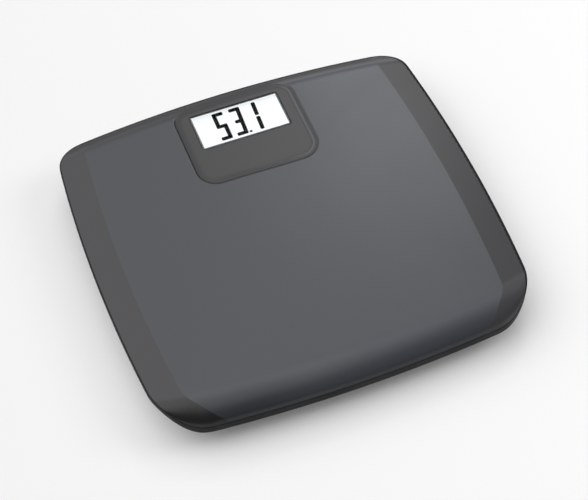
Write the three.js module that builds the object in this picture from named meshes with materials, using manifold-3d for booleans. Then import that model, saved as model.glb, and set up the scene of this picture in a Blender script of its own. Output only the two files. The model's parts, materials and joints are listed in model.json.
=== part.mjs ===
// Electronic bathroom scale: a moulded platform on four load-cell feet, with a display at the back.
// Millimetres, +Z up. It stands on the floor at z = 0, and its front edge faces -Y.
import * as THREE from 'three';
import { mergeVertices } from 'three/addons/utils/BufferGeometryUtils.js';
import Module from 'manifold-3d';

const wasm = await Module();
wasm.setup();

// Fits shared by all pieces
const seatGap = 0.3; // between two pieces that rest on each other
const joinDepth = 0.6; // how far a rib or a boss runs into the wall that carries it
const cutOverrun = 2; // how far a cut runs past the face that it opens
const mergeDistance = 0.001;

// Platform outline, seen from above
const platformWidth = 320;
const platformDepth = 298;
const platformHeight = 38;
const sideBow = 9.4;
const frontBow = 10;
const backBow = 12;
const frontCornerRadius = 36;
const backCornerRadius = 19.5;

// Platform surface: a flat middle that rolls down at the front and the back, and a facet down each side
const coverWall = 2.5;
const rimLip = 4;
const bandWidth = 23;
const bandDrop = 1.5;
const frontRollLength = 26;
const frontRollDrop = 15.5;
const backRollLength = 16;
const backRollDrop = 4;
const flatCornerRadius = 8;
const foldSetback = 31; // from the front edge to the fold across each front corner
const foldAngle = THREE.MathUtils.degToRad(13);
const foldSharpnessShare = 0.27;
const rimFallStart = THREE.MathUtils.degToRad(16);
const rimFallSpan = THREE.MathUtils.degToRad(60);

// Display pod: a groove in the cover round the window
const podHalfWidth = 52;
const podFrontReach = 55; // from the middle of the window to the front of the groove
const podBackInset = 8;
const podFrontRadius = 17;
const podBackRadius = 15;
const grooveWidth = 3;
const grooveDepth = 0.9;
const windowWidth = 76.2;
const windowHeight = 35.4;
const windowSetback = 36; // from the back edge to the middle of the window
const windowCornerRadius = 1.2;

// Ribs and bosses under the cover
const ribPitch = 44;
const ribThickness = 1.8;
const ribDepth = 13.5;
const ribEdgeMargin = 3;
const bossDiameter = 8;
const pilotClearance = 0.3;
const pilotExtra = 1.2;

// Base tray
const trayBottom = 9;
const trayWall = 2.2;
const trayFillet = 3;
const trayRimInset = 1;
const traySideInset = 20;
const trayFrontInset = 10;
const trayBackInset = 16;
const trayFrontRadius = 24;
const trayBackRadius = 12;

// Case screws, in wells moulded into the tray
const screwShankDiameter = 3;
const screwHeadDiameter = 6.6;
const screwHeadHeight = 1.8;
const screwHeadBevel = 0.8;
const caseScrewLength = 12;
const screwWellDiameter = 7.8;
const screwWellWall = 1.6;
const screwWellDepth = 4.2;
const screwSeatThickness = 1.8;
const sideScrewInset = 36;
const sideScrewY = 24;
const frontScrewInset = 31;
const frontScrewX = 45;
const backScrewInset = 30;
const backScrewX = 63;

// Feet: each is a cup that holds a load cell and floats a little in a well of the cover
const footSideInset = 57;
const footFrontInset = 57;
const footBackInset = 59;
const footTravel = 0.6;
const footPadDiameter = 38;
const footPadHeight = 3.4;
const footPadSeatDepth = 1.4;
const footPadEdge = 0.8;
const footCupDiameter = 45;
const footCupWall = 2;
const footCupFloor = 2.4;
const footCupHeight = 12;
const footFlangeDiameter = 50;
const footFlangeThickness = 1.5;
const footRunGap = 0.6;
const footWellWall = 2.2;
const cellLedgeHeight = 3.4;
const cellLedgeWidth = 3.6;
const cellWidth = 31;
const cellCornerRadius = 9;
const cellThickness = 2;
const cellSlotWidth = 2;
const cellTongueWidth = 9;
const cellButtonDiameter = 7;
const cellButtonHeight = 3;
const pressBossDiameter = 12;

// Battery bay, opening downwards in the tray, with its door
const cellBatteryDiameter = 10.4;
const cellBatteryLength = 44;
const batteryNubDiameter = 3.8;
const batteryNubHeight = 1;
const batterySpacing = 11.2;
const bayReach = 75; // from the middle of the window forward to the middle of the bay
const bayWall = 1.8;
const baySideMargin = 0.9;
const contactThickness = 0.6;
const contactWidth = 8.6;
const springTurns = 4;
const springLength = 4.4;
const springWire = 0.7;
const springWideRadius = 3.6;
const springNarrowRadius = 2.4;
const doorThickness = 2;
const doorOverlap = 3.4;
const doorFrameWall = 2.2;
const doorPinRadius = 0.6;
const doorPinLength = 1.4;
const doorPinClearance = 0.1;
const doorTabWidth = 14;
const doorTabSlot = 1.2;
const doorTabLength = 9;
const thumbScoopRadius = 8;
const thumbScoopDepth = 1.6;

// Display stack under the window
const lensThickness = 1.2;
const lensFlangeOverlap = 2;
const lcdOverlap = 1.8;
const lcdThickness = 2.2;
const backlightThickness = 3;
const connectorWidth = 2.4;
const connectorLength = 60;
const frameWall = 1.6;
const frameFloor = 1.6;
const frameEarDiameter = 7.4;
const frameEarGap = 1;
const boardThickness = 1.6;
const boardFrontMargin = 9;
const boardSideMargin = 0.8;
const boardScrewLength = 7;
const chipWidth = 14;
const chipHeight = 2.2;

// Unit switch, worked by a button through the tray
const unitButtonX = 62;
const unitButtonDiameter = 9;
const unitButtonProud = 0.5;
const unitButtonFlange = 1.6;
const unitButtonFlangeThickness = 1;
const unitButtonStemDiameter = 3.4;
const unitButtonStemHeight = 1;
const unitButtonTravel = 0.8;
const unitButtonGap = 0.35;
const switchBodyWidth = 6.2;
const switchBodyHeight = 3.2;
const switchPlungerDiameter = 3.2;
const switchPlungerHeight = 0.7;
const switchBoardWidth = 26;
const switchBoardDepth = 13;
const switchPostDiameter = 5;
const switchScrewLength = 5;

// Leads inside the case
const leadDiameter = 2.2;
const leadStep = 14;
const leadFloorGap = 0.6;
const powerLeadDiameter = 1.6;

// Steps in round shapes
const roundSteps = 20;
const smallRoundSteps = 10;
const screwSteps = 8;
const batterySteps = 14;
const springStepsPerTurn = 8;
const springSides = 5;
const leadSides = 6;
const arcSteps = 4;
const outerRows = 7;
const innerRows = 3;
const settlePasses = 16;
const creaseSteps = 60;

// Materials
const plastic = (color, roughness) => new THREE.MeshStandardMaterial({ color, roughness, metalness: 0 });
const metal = (color, roughness) => new THREE.MeshStandardMaterial({ color, roughness, metalness: 1 });
const materials = {
  cover: plastic(0x5c5d61, 0.5),
  tray: plastic(0x2b2b2d, 0.6),
  lens: plastic(0xeef6f8, 0.05),
  lcd: plastic(0xf2f7f8, 0.2),
  backlight: plastic(0xf8fafa, 0.6),
  frame: plastic(0xd9dad6, 0.6),
  strip: plastic(0xc9899a, 0.8),
  board: plastic(0x1f6b3a, 0.5),
  button: plastic(0x3a3a3d, 0.5),
  switchBody: plastic(0x222222, 0.4),
  rubber: plastic(0x1b1b1b, 0.9),
  cup: plastic(0x333336, 0.6),
  steel: metal(0xb9bcc0, 0.35),
  zinc: metal(0xa8abae, 0.4),
  nickel: metal(0xc9c7bf, 0.25),
  battery: plastic(0x2f6f9f, 0.35),
  lead: plastic(0x9a9a9c, 0.6),
};

// Solids
function solid(source) {
  const geometry = source.clone();
  geometry.deleteAttribute('normal');
  geometry.deleteAttribute('uv');
  const merged = mergeVertices(geometry, mergeDistance);
  const position = merged.attributes.position;
  const triangles = [];
  let volume = 0;
  for (let i = 0; i < merged.index.count; i += 3) {
    const [a, b, c] = [0, 1, 2].map((k) => merged.index.getX(i + k));
    if (a === b || b === c || c === a) continue;
    triangles.push([a, b, c]);
    const [p, q, r] = [a, b, c].map((k) => new THREE.Vector3().fromBufferAttribute(position, k));
    volume += p.dot(q.cross(r));
  }
  const triVerts = new Uint32Array((volume < 0 ? triangles.map(([a, b, c]) => [a, c, b]) : triangles).flat());
  return new wasm.Manifold(
    new wasm.Mesh({ numProp: 3, vertProperties: new Float32Array(position.array), triVerts }),
  );
}

function geometryOf(body) {
  const mesh = body.getMesh();
  const corners = new Float32Array(mesh.vertProperties);
  const geometry = new THREE.BufferGeometry();
  geometry.setAttribute('position', new THREE.BufferAttribute(corners, mesh.numProp));
  geometry.setIndex(new THREE.BufferAttribute(new Uint32Array(mesh.triVerts), 1));
  geometry.computeVertexNormals();
  return geometry;
}

function block([x0, x1], [y0, y1], [z0, z1]) {
  const geometry = new THREE.BoxGeometry(x1 - x0, y1 - y0, z1 - z0);
  geometry.translate((x0 + x1) / 2, (y0 + y1) / 2, (z0 + z1) / 2);
  return solid(geometry);
}

function prism(shape, low, high) {
  const geometry = new THREE.ExtrudeGeometry(shape, {
    depth: high - low,
    bevelEnabled: false,
    curveSegments: arcSteps,
  });
  geometry.translate(0, 0, low);
  return solid(geometry);
}

// A profile of [radius, height] points that starts and ends on the axis or closes on itself
function revolve(profile, steps = roundSteps) {
  const geometry = new THREE.LatheGeometry(profile.map(([r, z]) => new THREE.Vector2(r, z)), steps);
  geometry.rotateX(Math.PI / 2);
  return solid(geometry);
}

function rod(radius, low, high, steps = smallRoundSteps) {
  return revolve([[0, low], [radius, low], [radius, high], [0, high]], steps);
}

function tube(innerRadius, outerRadius, low, high, steps = roundSteps) {
  const corners = [[innerRadius, low], [outerRadius, low], [outerRadius, high], [innerRadius, high]];
  return revolve([...corners, corners[0]], steps);
}

function roundedRectangle(x0, x1, y0, y1, frontRadius, backRadius = frontRadius) {
  const shape = new THREE.Shape();
  shape.moveTo(x0 + frontRadius, y0);
  shape.lineTo(x1 - frontRadius, y0);
  shape.absarc(x1 - frontRadius, y0 + frontRadius, frontRadius, -Math.PI / 2, 0);
  shape.lineTo(x1, y1 - backRadius);
  shape.absarc(x1 - backRadius, y1 - backRadius, backRadius, 0, Math.PI / 2);
  shape.lineTo(x0 + backRadius, y1);
  shape.absarc(x0 + backRadius, y1 - backRadius, backRadius, Math.PI / 2, Math.PI);
  shape.lineTo(x0, y0 + frontRadius);
  shape.absarc(x0 + frontRadius, y0 + frontRadius, frontRadius, Math.PI, 1.5 * Math.PI);
  return shape;
}

// A solid through closed rings of equal length, with a face on the first and the last ring.
// Each square splits along the diagonal that lies higher, which keeps creases crisp.
function loft(rings) {
  const count = rings[0].length;
  const points = rings.flat();
  const faces = [];
  for (let j = 0; j + 1 < rings.length; j++) {
    for (let i = 0; i < count; i++) {
      const [a, b] = [j * count + i, j * count + ((i + 1) % count)];
      const [d, c] = [a + count, b + count];
      const first = points[a].z + points[c].z >= points[b].z + points[d].z;
      faces.push(...(first ? [a, b, c, a, c, d] : [a, b, d, b, c, d]));
    }
  }
  for (const [start, sense] of [[0, -1], [(rings.length - 1) * count, 1]]) {
    const contour = points.slice(start, start + count).map((p) => new THREE.Vector2(p.x, p.y));
    const wanted = sense * Math.sign(THREE.ShapeUtils.area(contour));
    for (const [a, b, c] of THREE.ShapeUtils.triangulateShape(contour, [])) {
      const kept = Math.sign(THREE.ShapeUtils.area([contour[a], contour[b], contour[c]])) === wanted;
      faces.push(...(kept ? [a, b, c] : [a, c, b]).map((k) => start + k));
    }
  }
  const corners = points.flatMap((p) => p.toArray());
  const geometry = new THREE.BufferGeometry();
  geometry.setAttribute('position', new THREE.Float32BufferAttribute(corners, 3));
  geometry.setIndex(faces);
  return solid(geometry);
}

const scale = new THREE.Group();

function add(name, body, material, [x, y, z] = [0, 0, 0], turn = 0) {
  const mesh = new THREE.Mesh(geometryOf(body), material);
  mesh.name = name;
  mesh.position.set(x, y, z);
  mesh.rotation.z = turn;
  scale.add(mesh);
}

const union = (...bodies) => bodies.flat().reduce((sum, body) => sum.add(body));
const mirrored = (places) => places.flatMap(([x, y]) => [[-x, y], [x, y]]);

// Outline of the platform
const sideAt = (y) => platformWidth / 2 - sideBow * ((2 * y) / platformDepth) ** 2;
const frontAt = (x) => -platformDepth / 2 + frontBow * ((2 * x) / platformWidth) ** 2;
const backAt = (x) => platformDepth / 2 - backBow * ((2 * x) / platformWidth) ** 2;

// Places round the outline, from the middle of the front to the middle of the back and round again
const stretchSteps = { front: 6, frontCorner: 9, side: 6, backCorner: 5, back: 5 };
const halfColumns = Object.entries(stretchSteps).flatMap(([stretch, steps]) =>
  Array.from({ length: steps }, (_, k) => ({ stretch, share: k / steps, mirror: 1 })),
);
const columns = [
  ...halfColumns,
  { stretch: 'back', share: 1, mirror: 1 },
  ...halfColumns.slice(1).reverse().map((column) => ({ ...column, mirror: -1 })),
];

// The point that keeps a distance from the side and one from the front or the back
function settle(sideDistance, endDistance, atFront) {
  let y = 0;
  let x = 0;
  for (let k = 0; k < settlePasses; k++) {
    x = sideAt(y) - sideDistance;
    y = atFront ? frontAt(x) + endDistance : backAt(x) - endDistance;
  }
  return [x, y];
}

function place({ stretch, share, mirror }, { side, front, back, frontRadius, backRadius }) {
  const turn = (share * Math.PI) / 2;
  const [frontX] = settle(side + frontRadius, front, true);
  const [, sideFrontY] = settle(side, front + frontRadius, true);
  const [, sideBackY] = settle(side, back + backRadius, false);
  const [backX] = settle(side + backRadius, back, false);
  let point = [frontX * share, frontAt(frontX * share) + front];
  if (stretch === 'frontCorner') {
    const away = [side + frontRadius * (1 - Math.sin(turn)), front + frontRadius * (1 - Math.cos(turn))];
    point = settle(...away, true);
  } else if (stretch === 'side') {
    const y = share < 1 / 2 ? sideFrontY * (1 - 2 * share) : sideBackY * (2 * share - 1);
    point = [sideAt(y) - side, y];
  } else if (stretch === 'backCorner') {
    const away = [side + backRadius * (1 - Math.cos(turn)), back + backRadius * (1 - Math.sin(turn))];
    point = settle(...away, false);
  } else if (stretch === 'back') {
    const x = backX * (1 - share);
    point = [x, backAt(x) - back];
  }
  return [mirror * point[0], point[1]];
}

// Distances of a point inside the outline, less a depth below the surface
function distances(x, y, depth) {
  const side = sideAt(y) - Math.abs(x) - depth;
  const front = y - frontAt(x) - depth;
  const back = backAt(x) - y - depth;
  const end = y < 0 ? front : back;
  const radius = (y < 0 ? frontCornerRadius : backCornerRadius) - depth;
  const [u, v] = [Math.max(radius - side, 0), Math.max(radius - end, 0)];
  const edge = u > 0 && v > 0 ? radius - Math.hypot(u, v) : Math.min(side, end);
  return { side, front, back, edge, heading: Math.atan2(v, u) };
}

const quarterRoll = (share) => 1 - Math.sqrt(1 - share * share);
const within = (value) => THREE.MathUtils.clamp(value, 0, 1);

function backFall(back, depth) {
  return backRollDrop * within(1 - back / (backRollLength - depth)) ** 2;
}

// Height of the middle sheet, which rolls over the front edge
function middleHeight({ front, back }, depth) {
  const roll = quarterRoll(within(1 - front / (frontRollLength - depth)));
  return platformHeight - depth - (frontRollDrop - depth) * roll - backFall(back, depth);
}

// Height of a side band, which folds down across the front corner
function bandHeight(x, y, { side, back, edge, heading }, depth) {
  const facet = platformHeight - depth - bandDrop * (1 - side / (bandWidth - depth));
  const foldX = platformWidth / 2 - bandWidth;
  const foldY = -platformDepth / 2 + foldSetback;
  const past = Math.sin(foldAngle) * (Math.abs(x) - foldX) - Math.cos(foldAngle) * (y - foldY);
  if (y > 0 || past <= 0) return facet - backFall(back, depth);
  const share = within(past / (past + Math.max(edge, 0)));
  const rimFall = THREE.MathUtils.smoothstep((heading - rimFallStart) / rimFallSpan, 0, 1);
  const rimHeight = platformHeight - depth - bandDrop - (frontRollDrop - bandDrop - depth) * rimFall;
  const bend = foldSharpnessShare * share + (1 - foldSharpnessShare) * quarterRoll(share);
  return facet - (facet - rimHeight) * bend;
}

function platformTop(x, y, depth = 0) {
  const distance = distances(x, y, depth);
  return Math.min(middleHeight(distance, depth), bandHeight(x, y, distance, depth));
}

// Insets of a ring that lies a share of the way from the rim to the flat middle
function coverInset(share, depth) {
  const inward = (distance) => THREE.MathUtils.lerp(depth, distance, share);
  const turned = (radius) => THREE.MathUtils.lerp(radius - depth, flatCornerRadius, share);
  return {
    side: inward(bandWidth),
    front: inward(frontRollLength),
    back: inward(backRollLength),
    frontRadius: turned(frontCornerRadius),
    backRadius: turned(backCornerRadius),
  };
}

// Where the crease between the two sheets crosses a column, as a share, or nothing where it doesn't
function creaseShare(column, depth) {
  const lead = (share) => {
    const [x, y] = place(column, coverInset(share, depth));
    const distance = distances(x, y, depth);
    return middleHeight(distance, depth) - bandHeight(x, y, distance, depth);
  };
  for (let k = 1; k < creaseSteps - 1; k++) {
    let [low, high] = [k / creaseSteps, (k + 1) / creaseSteps];
    if (lead(low) > 0 && lead(high) <= 0) {
      for (let pass = 0; pass < settlePasses; pass++) {
        const middle = (low + high) / 2;
        if (lead(middle) > 0) low = middle;
        else high = middle;
      }
      return low;
    }
  }
  return undefined;
}

// Rings of the cover's skin from the rim to the flat middle, with a row moved onto the crease
function skinRings(depth, rows) {
  const shares = Array.from({ length: rows + 1 }, (_, j) => 1 - Math.cos((j / rows) * (Math.PI / 2)));
  const columnShares = columns.map((column) => {
    const crease = creaseShare(column, depth);
    if (crease === undefined) return shares;
    const inner = shares.slice(1, -1).map((share) => Math.abs(share - crease));
    const nearest = 1 + inner.indexOf(Math.min(...inner));
    return shares.map((share, j) => (j === nearest ? crease : share));
  });
  return shares.map((_, j) =>
    columns.map((column, i) => {
      const [x, y] = place(column, coverInset(columnShares[i][j], depth));
      return new THREE.Vector3(x, y, platformTop(x, y, depth));
    }),
  );
}

const outerSkin = skinRings(0, outerRows);
const rimLow = outerSkin[0].map((p) => p.z - rimLip);
const ceiling = platformHeight - coverWall;

// Places from the back edge forward
const windowY = platformDepth / 2 - windowSetback;
const podFront = windowY - podFrontReach;
const podBack = platformDepth / 2 - podBackInset;
const bayY = windowY - bayReach;
const unitButtonY = bayY;

// Heights that the pieces inside share
const trayFloor = trayBottom + trayWall;
const ribBottom = ceiling - ribDepth;
const screwSeatTop = trayBottom + screwWellDepth + screwSeatThickness;
const caseScrews = [
  ...mirrored([[frontScrewX, -platformDepth / 2 + frontScrewInset]]),
  ...mirrored([[platformWidth / 2 - sideScrewInset, -sideScrewY]]),
  ...mirrored([[platformWidth / 2 - sideScrewInset, sideScrewY]]),
  ...mirrored([[backScrewX, platformDepth / 2 - backScrewInset]]),
];
const footX = platformWidth / 2 - footSideInset;
const feet = [
  ...mirrored([[footX, -platformDepth / 2 + footFrontInset]]),
  ...mirrored([[footX, platformDepth / 2 - footBackInset]]),
];

// Foot heights, from the floor up
const cupBottom = footPadHeight - footPadSeatDepth;
const cupTop = cupBottom + footCupHeight;
const cupFloorTop = footPadHeight + seatGap + footCupFloor;
const flangeBottom = trayFloor + seatGap;
const ledgeTop = cupFloorTop + cellLedgeHeight - footCupFloor;
const cellBottom = ledgeTop + seatGap;
const cellTop = cellBottom + cellThickness;
const cellButtonTop = cellTop + cellButtonHeight;
const pressBossBottom = cellButtonTop + footTravel + seatGap;
const footWellInner = footFlangeDiameter / 2 + footRunGap;
const footWellBottom = trayFloor + seatGap;

// Display stack heights, from the window down
const lensFlangeTop = ceiling - seatGap;
const lensFlangeBottom = lensFlangeTop - lensThickness;
const lcdTop = lensFlangeBottom - seatGap;
const lcdBottom = lcdTop - lcdThickness;
const backlightTop = lcdBottom - seatGap;
const backlightBottom = backlightTop - backlightThickness;
const frameFloorTop = backlightBottom - seatGap;
const frameBottom = frameFloorTop - frameFloor;
const boardTop = frameBottom - seatGap;
const boardBottom = boardTop - boardThickness;
const lcdWidth = windowWidth + 2 * lcdOverlap;
const lcdHeight = windowHeight + 2 * lcdOverlap;
const frameInnerX = lcdWidth / 2 + seatGap;
const frameInnerY = lcdHeight / 2 + seatGap;
const frameOuterX = frameInnerX + frameWall;
const frameOuterY = frameInnerY + frameWall;
const frameScrewX = frameOuterX + frameEarDiameter / 2 - frameWall;
const frameScrewRise = frameOuterY - frameEarDiameter / 2 - frameEarGap;
const boardScrews = mirrored([
  [frameScrewX, windowY - frameScrewRise],
  [frameScrewX, windowY + frameScrewRise],
]);
const boardHalfWidth = frameScrewX + frameEarDiameter / 2 + boardSideMargin - frameEarGap;
const boardFront = windowY - frameOuterY - boardFrontMargin;
const boardBack = windowY + frameOuterY;

// Battery bay sizes
const bayHalfLength = (cellBatteryLength + contactThickness + springLength) / 2 + 2 * seatGap;
const bayHalfWidth = (batterySpacing + cellBatteryDiameter) / 2 + baySideMargin;
const doorHalfLength = bayHalfLength + doorOverlap;
const doorHalfWidth = bayHalfWidth + doorOverlap;
const doorTop = trayBottom + doorThickness;
const doorSeat = doorTop + seatGap;
const batteryZ = doorTop + seatGap + cellBatteryDiameter / 2;
const bayCeiling = batteryZ + cellBatteryDiameter / 2 + seatGap;
const bayRoof = bayCeiling + bayWall;
const doorAxisY = bayY - doorHalfWidth + doorThickness / 2;
const doorAxisZ = trayBottom + doorThickness / 2;
const recessHalfLength = doorHalfLength + seatGap;
const recessHalfWidth = doorHalfWidth + seatGap;

// Unit switch heights, from the tray up
const buttonFlangeBottom = trayFloor + seatGap;
const buttonStemTop = buttonFlangeBottom + unitButtonFlangeThickness + unitButtonStemHeight;
const plungerBottom = buttonStemTop + unitButtonTravel + seatGap;
const switchBodyBottom = plungerBottom + switchPlungerHeight;
const switchBoardBottom = switchBodyBottom + switchBodyHeight + seatGap;
const switchBoardTop = switchBoardBottom + boardThickness;
const switchPostTop = switchBoardBottom - seatGap;
const switchScrewSeat = switchBoardTop + seatGap;
const switchPilotBottom = switchScrewSeat - switchScrewLength - pilotExtra;
const switchPostX = switchBoardWidth / 2 - switchPostDiameter / 2;
const switchPosts = [-switchPostX, switchPostX].map((x) => [unitButtonX + x, unitButtonY]);

// Platform cover
function coverShell() {
  const innerSkin = skinRings(coverWall, innerRows);
  const lipUnder = (ring) => ring.map((p, i) => new THREE.Vector3(p.x, p.y, rimLow[i]));
  return loft([...outerSkin.toReversed(), lipUnder(outerSkin[0]), lipUnder(innerSkin[0]), ...innerSkin]);
}

function podOutline(offset) {
  const halfWidth = podHalfWidth + offset;
  const [front, back] = [podFront - offset, podBack + offset];
  const radii = [podFrontRadius + offset, podBackRadius + offset];
  return roundedRectangle(-halfWidth, halfWidth, front, back, ...radii);
}

function podGroove() {
  const low = platformHeight - grooveDepth;
  const high = platformHeight + cutOverrun;
  const inner = prism(podOutline(-grooveWidth / 2), low - cutOverrun, high + cutOverrun);
  return prism(podOutline(grooveWidth / 2), low, high).subtract(inner);
}

function windowShape(offset) {
  const [x, y] = [windowWidth / 2 + offset, windowHeight / 2 + offset];
  return roundedRectangle(-x, x, windowY - y, windowY + y, windowCornerRadius);
}

function ribGrid() {
  const top = ceiling + joinDepth;
  const reachX = platformWidth / 2;
  const reachY = platformDepth / 2;
  const ribs = [];
  for (let k = 0; k * ribPitch < reachX - bandWidth; k++) {
    for (const x of new Set([k * ribPitch, -k * ribPitch])) {
      ribs.push(block([x - ribThickness / 2, x + ribThickness / 2], [-reachY, reachY], [ribBottom, top]));
    }
  }
  for (let k = 0; k * ribPitch < reachY - frontRollLength; k++) {
    for (const y of new Set([k * ribPitch, -k * ribPitch])) {
      ribs.push(block([-reachX, reachX], [y - ribThickness / 2, y + ribThickness / 2], [ribBottom, top]));
    }
  }
  const inset = {
    side: bandWidth + ribEdgeMargin,
    front: frontRollLength + ribEdgeMargin,
    back: backRollLength + ribEdgeMargin,
    frontRadius: flatCornerRadius,
    backRadius: flatCornerRadius,
  };
  const field = [ribBottom - cutOverrun, top + cutOverrun].map((z) =>
    columns.map((column) => new THREE.Vector3(...place(column, inset), z)),
  );
  return union(ribs).intersect(loft(field));
}

function ribClearances() {
  const low = ribBottom - cutOverrun;
  const display = block(
    [-boardHalfWidth - ribEdgeMargin, boardHalfWidth + ribEdgeMargin],
    [boardFront - ribEdgeMargin, platformDepth / 2],
    [low, ceiling],
  );
  const bayX = bayHalfLength + bayWall + ribEdgeMargin;
  const bayReach = bayHalfWidth + bayWall + ribEdgeMargin;
  const bay = block([-bayX, bayX], [bayY - bayReach, bayY + bayReach], [low, bayRoof + ribEdgeMargin]);
  const switchX = switchBoardWidth / 2 + ribEdgeMargin;
  const switchY = switchBoardDepth / 2 + ribEdgeMargin;
  const unitSwitchRoom = block(
    [unitButtonX - switchX, unitButtonX + switchX],
    [unitButtonY - switchY, unitButtonY + switchY],
    [low, switchScrewSeat + screwHeadHeight + ribEdgeMargin],
  );
  return union(display, bay, unitSwitchRoom);
}

function platformCover() {
  const bossTop = ceiling + joinDepth;
  const bosses = caseScrews.map(([x, y]) =>
    rod(bossDiameter / 2, screwSeatTop + seatGap, bossTop).translate([x, y, 0]),
  );
  const displayBosses = boardScrews.map(([x, y]) =>
    rod(frameEarDiameter / 2, frameFloorTop + seatGap, bossTop).translate([x, y, 0]),
  );
  const wells = feet.map(([x, y]) =>
    tube(footWellInner, footWellInner + footWellWall, footWellBottom, bossTop).translate([x, y, 0]),
  );
  const pressBosses = feet.map(([x, y]) =>
    rod(pressBossDiameter / 2, pressBossBottom, bossTop).translate([x, y, 0]),
  );
  const pilotRadius = screwShankDiameter / 2 + pilotClearance;
  const casePilotTop = screwSeatTop - screwSeatThickness - seatGap + caseScrewLength + pilotExtra;
  const pilots = caseScrews.map(([x, y]) =>
    rod(pilotRadius, screwSeatTop - cutOverrun, casePilotTop).translate([x, y, 0]),
  );
  const displayPilotTop = boardBottom - seatGap + boardScrewLength + pilotExtra;
  const displayPilots = boardScrews.map(([x, y]) =>
    rod(pilotRadius, frameBottom, displayPilotTop).translate([x, y, 0]),
  );
  const notches = feet.map(([x, y]) => leadNotch(x, y));
  const opening = prism(windowShape(0), ceiling - cutOverrun, platformHeight + cutOverrun);
  const ribs = ribGrid().subtract(ribClearances());
  return union(coverShell(), ribs, bosses, displayBosses, wells, pressBosses)
    .subtract(union(pilots, displayPilots, notches, opening, podGroove()));
}

// Leads leave each well through a notch that faces the middle of the scale
const leadRadius = leadDiameter / 2;
const leadFloorZ = trayFloor + leadFloorGap + leadRadius;
const leadHighZ = cupTop + footTravel + 4 * seatGap + leadRadius;
const inwardTurn = (x, y) => Math.atan2(-Math.sign(y), -2 * Math.sign(x));

function leadNotch(x, y) {
  const reach = footWellInner + footWellWall;
  const half = leadRadius + 2 * seatGap;
  const top = leadHighZ + half;
  const notch = block([footWellInner - cutOverrun, reach + cutOverrun], [-half, half], [0, top]);
  return notch.rotate([0, 0, THREE.MathUtils.radToDeg(inwardTurn(x, y))]).translate([x, y, 0]);
}

// Base tray
function trayShell() {
  const rim = (inset) => ({
    side: inset,
    front: inset,
    back: inset,
    frontRadius: frontCornerRadius - inset,
    backRadius: backCornerRadius - inset,
  });
  const foot = (inset) => ({
    side: traySideInset + inset,
    front: trayFrontInset + inset,
    back: trayBackInset + inset,
    frontRadius: trayFrontRadius - inset,
    backRadius: trayBackRadius - inset,
  });
  const ring = (inset, heightOf) =>
    columns.map((column, i) => new THREE.Vector3(...place(column, inset), heightOf(i)));
  const rimHeight = (i) => rimLow[i] - seatGap;
  return loft([
    ring(foot(trayFillet), () => trayBottom),
    ring(foot(0), () => trayBottom + trayFillet),
    ring(rim(trayRimInset), rimHeight),
    ring(rim(trayRimInset + trayWall), rimHeight),
    ring(foot(trayWall), () => trayFloor + trayFillet),
    ring(foot(trayWall + trayFillet), () => trayFloor),
  ]);
}

function baseTray() {
  const wellRadius = screwWellDiameter / 2;
  const screwWells = caseScrews.map(([x, y]) =>
    rod(wellRadius + screwWellWall, trayBottom, screwSeatTop).translate([x, y, 0]),
  );
  const screwPockets = caseScrews.map(([x, y]) =>
    union(
      rod(wellRadius, trayBottom - cutOverrun, trayBottom + screwWellDepth),
      rod(screwShankDiameter / 2 + pilotClearance, trayBottom, screwSeatTop + cutOverrun),
    ).translate([x, y, 0]),
  );
  const footHoles = feet.map(([x, y]) =>
    rod(footCupDiameter / 2 + footRunGap, trayBottom - cutOverrun, trayFloor + cutOverrun, roundSteps)
      .translate([x, y, 0]),
  );
  const frameX = recessHalfLength + doorFrameWall;
  const frameY = recessHalfWidth + doorFrameWall;
  const doorFrame = block(
    [-frameX, frameX],
    [bayY - frameY, bayY + frameY],
    [trayBottom, doorSeat + bayWall],
  );
  const outerX = bayHalfLength + bayWall;
  const outerY = bayHalfWidth + bayWall;
  const bay = block([-outerX, outerX], [bayY - outerY, bayY + outerY], [trayBottom, bayRoof]);
  const bayHollow = block(
    [-bayHalfLength, bayHalfLength],
    [bayY - bayHalfWidth, bayY + bayHalfWidth],
    [trayBottom - cutOverrun, bayCeiling],
  );
  const recess = block(
    [-recessHalfLength, recessHalfLength],
    [bayY - recessHalfWidth, bayY + recessHalfWidth],
    [trayBottom - cutOverrun, doorSeat],
  );
  const pinReach = doorHalfLength + doorPinLength + seatGap;
  const pinHole = rod(doorPinRadius + doorPinClearance, -pinReach, pinReach)
    .rotate([0, 90, 0])
    .translate([0, doorAxisY, doorAxisZ]);
  const scoopBacking = rod(thumbScoopRadius + bayWall, trayBottom, doorSeat + bayWall, roundSteps)
    .translate([0, bayY + recessHalfWidth, 0]);
  const scoop = rod(thumbScoopRadius, trayBottom - cutOverrun, trayBottom + thumbScoopDepth, roundSteps)
    .translate([0, bayY + recessHalfWidth, 0]);
  const buttonHoleRadius = unitButtonDiameter / 2 + unitButtonGap;
  const buttonHole = rod(buttonHoleRadius, trayBottom - cutOverrun, trayFloor + cutOverrun)
    .translate([unitButtonX, unitButtonY, 0]);
  const posts = switchPosts.map(([x, y]) =>
    rod(switchPostDiameter / 2, trayBottom, switchPostTop).translate([x, y, 0]),
  );
  const postPilots = switchPosts.map(([x, y]) =>
    rod(screwShankDiameter / 2 + pilotClearance, switchPilotBottom, switchPostTop + cutOverrun)
      .translate([x, y, 0]),
  );
  return union(trayShell(), screwWells, doorFrame, bay, scoopBacking, posts)
    .subtract(union(screwPockets, footHoles, bayHollow, recess, pinHole, scoop, buttonHole, postPilots));
}

// Screws, pointing up from the underside of the head
function screw(length) {
  const [shank, head] = [screwShankDiameter / 2, screwHeadDiameter / 2];
  const low = -screwHeadHeight;
  const tip = length - screwShankDiameter;
  return revolve([
    [0, low], [head - screwHeadBevel, low], [head, low + screwHeadBevel],
    [head, 0], [shank, 0], [shank, tip], [0, length],
  ], screwSteps);
}

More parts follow.
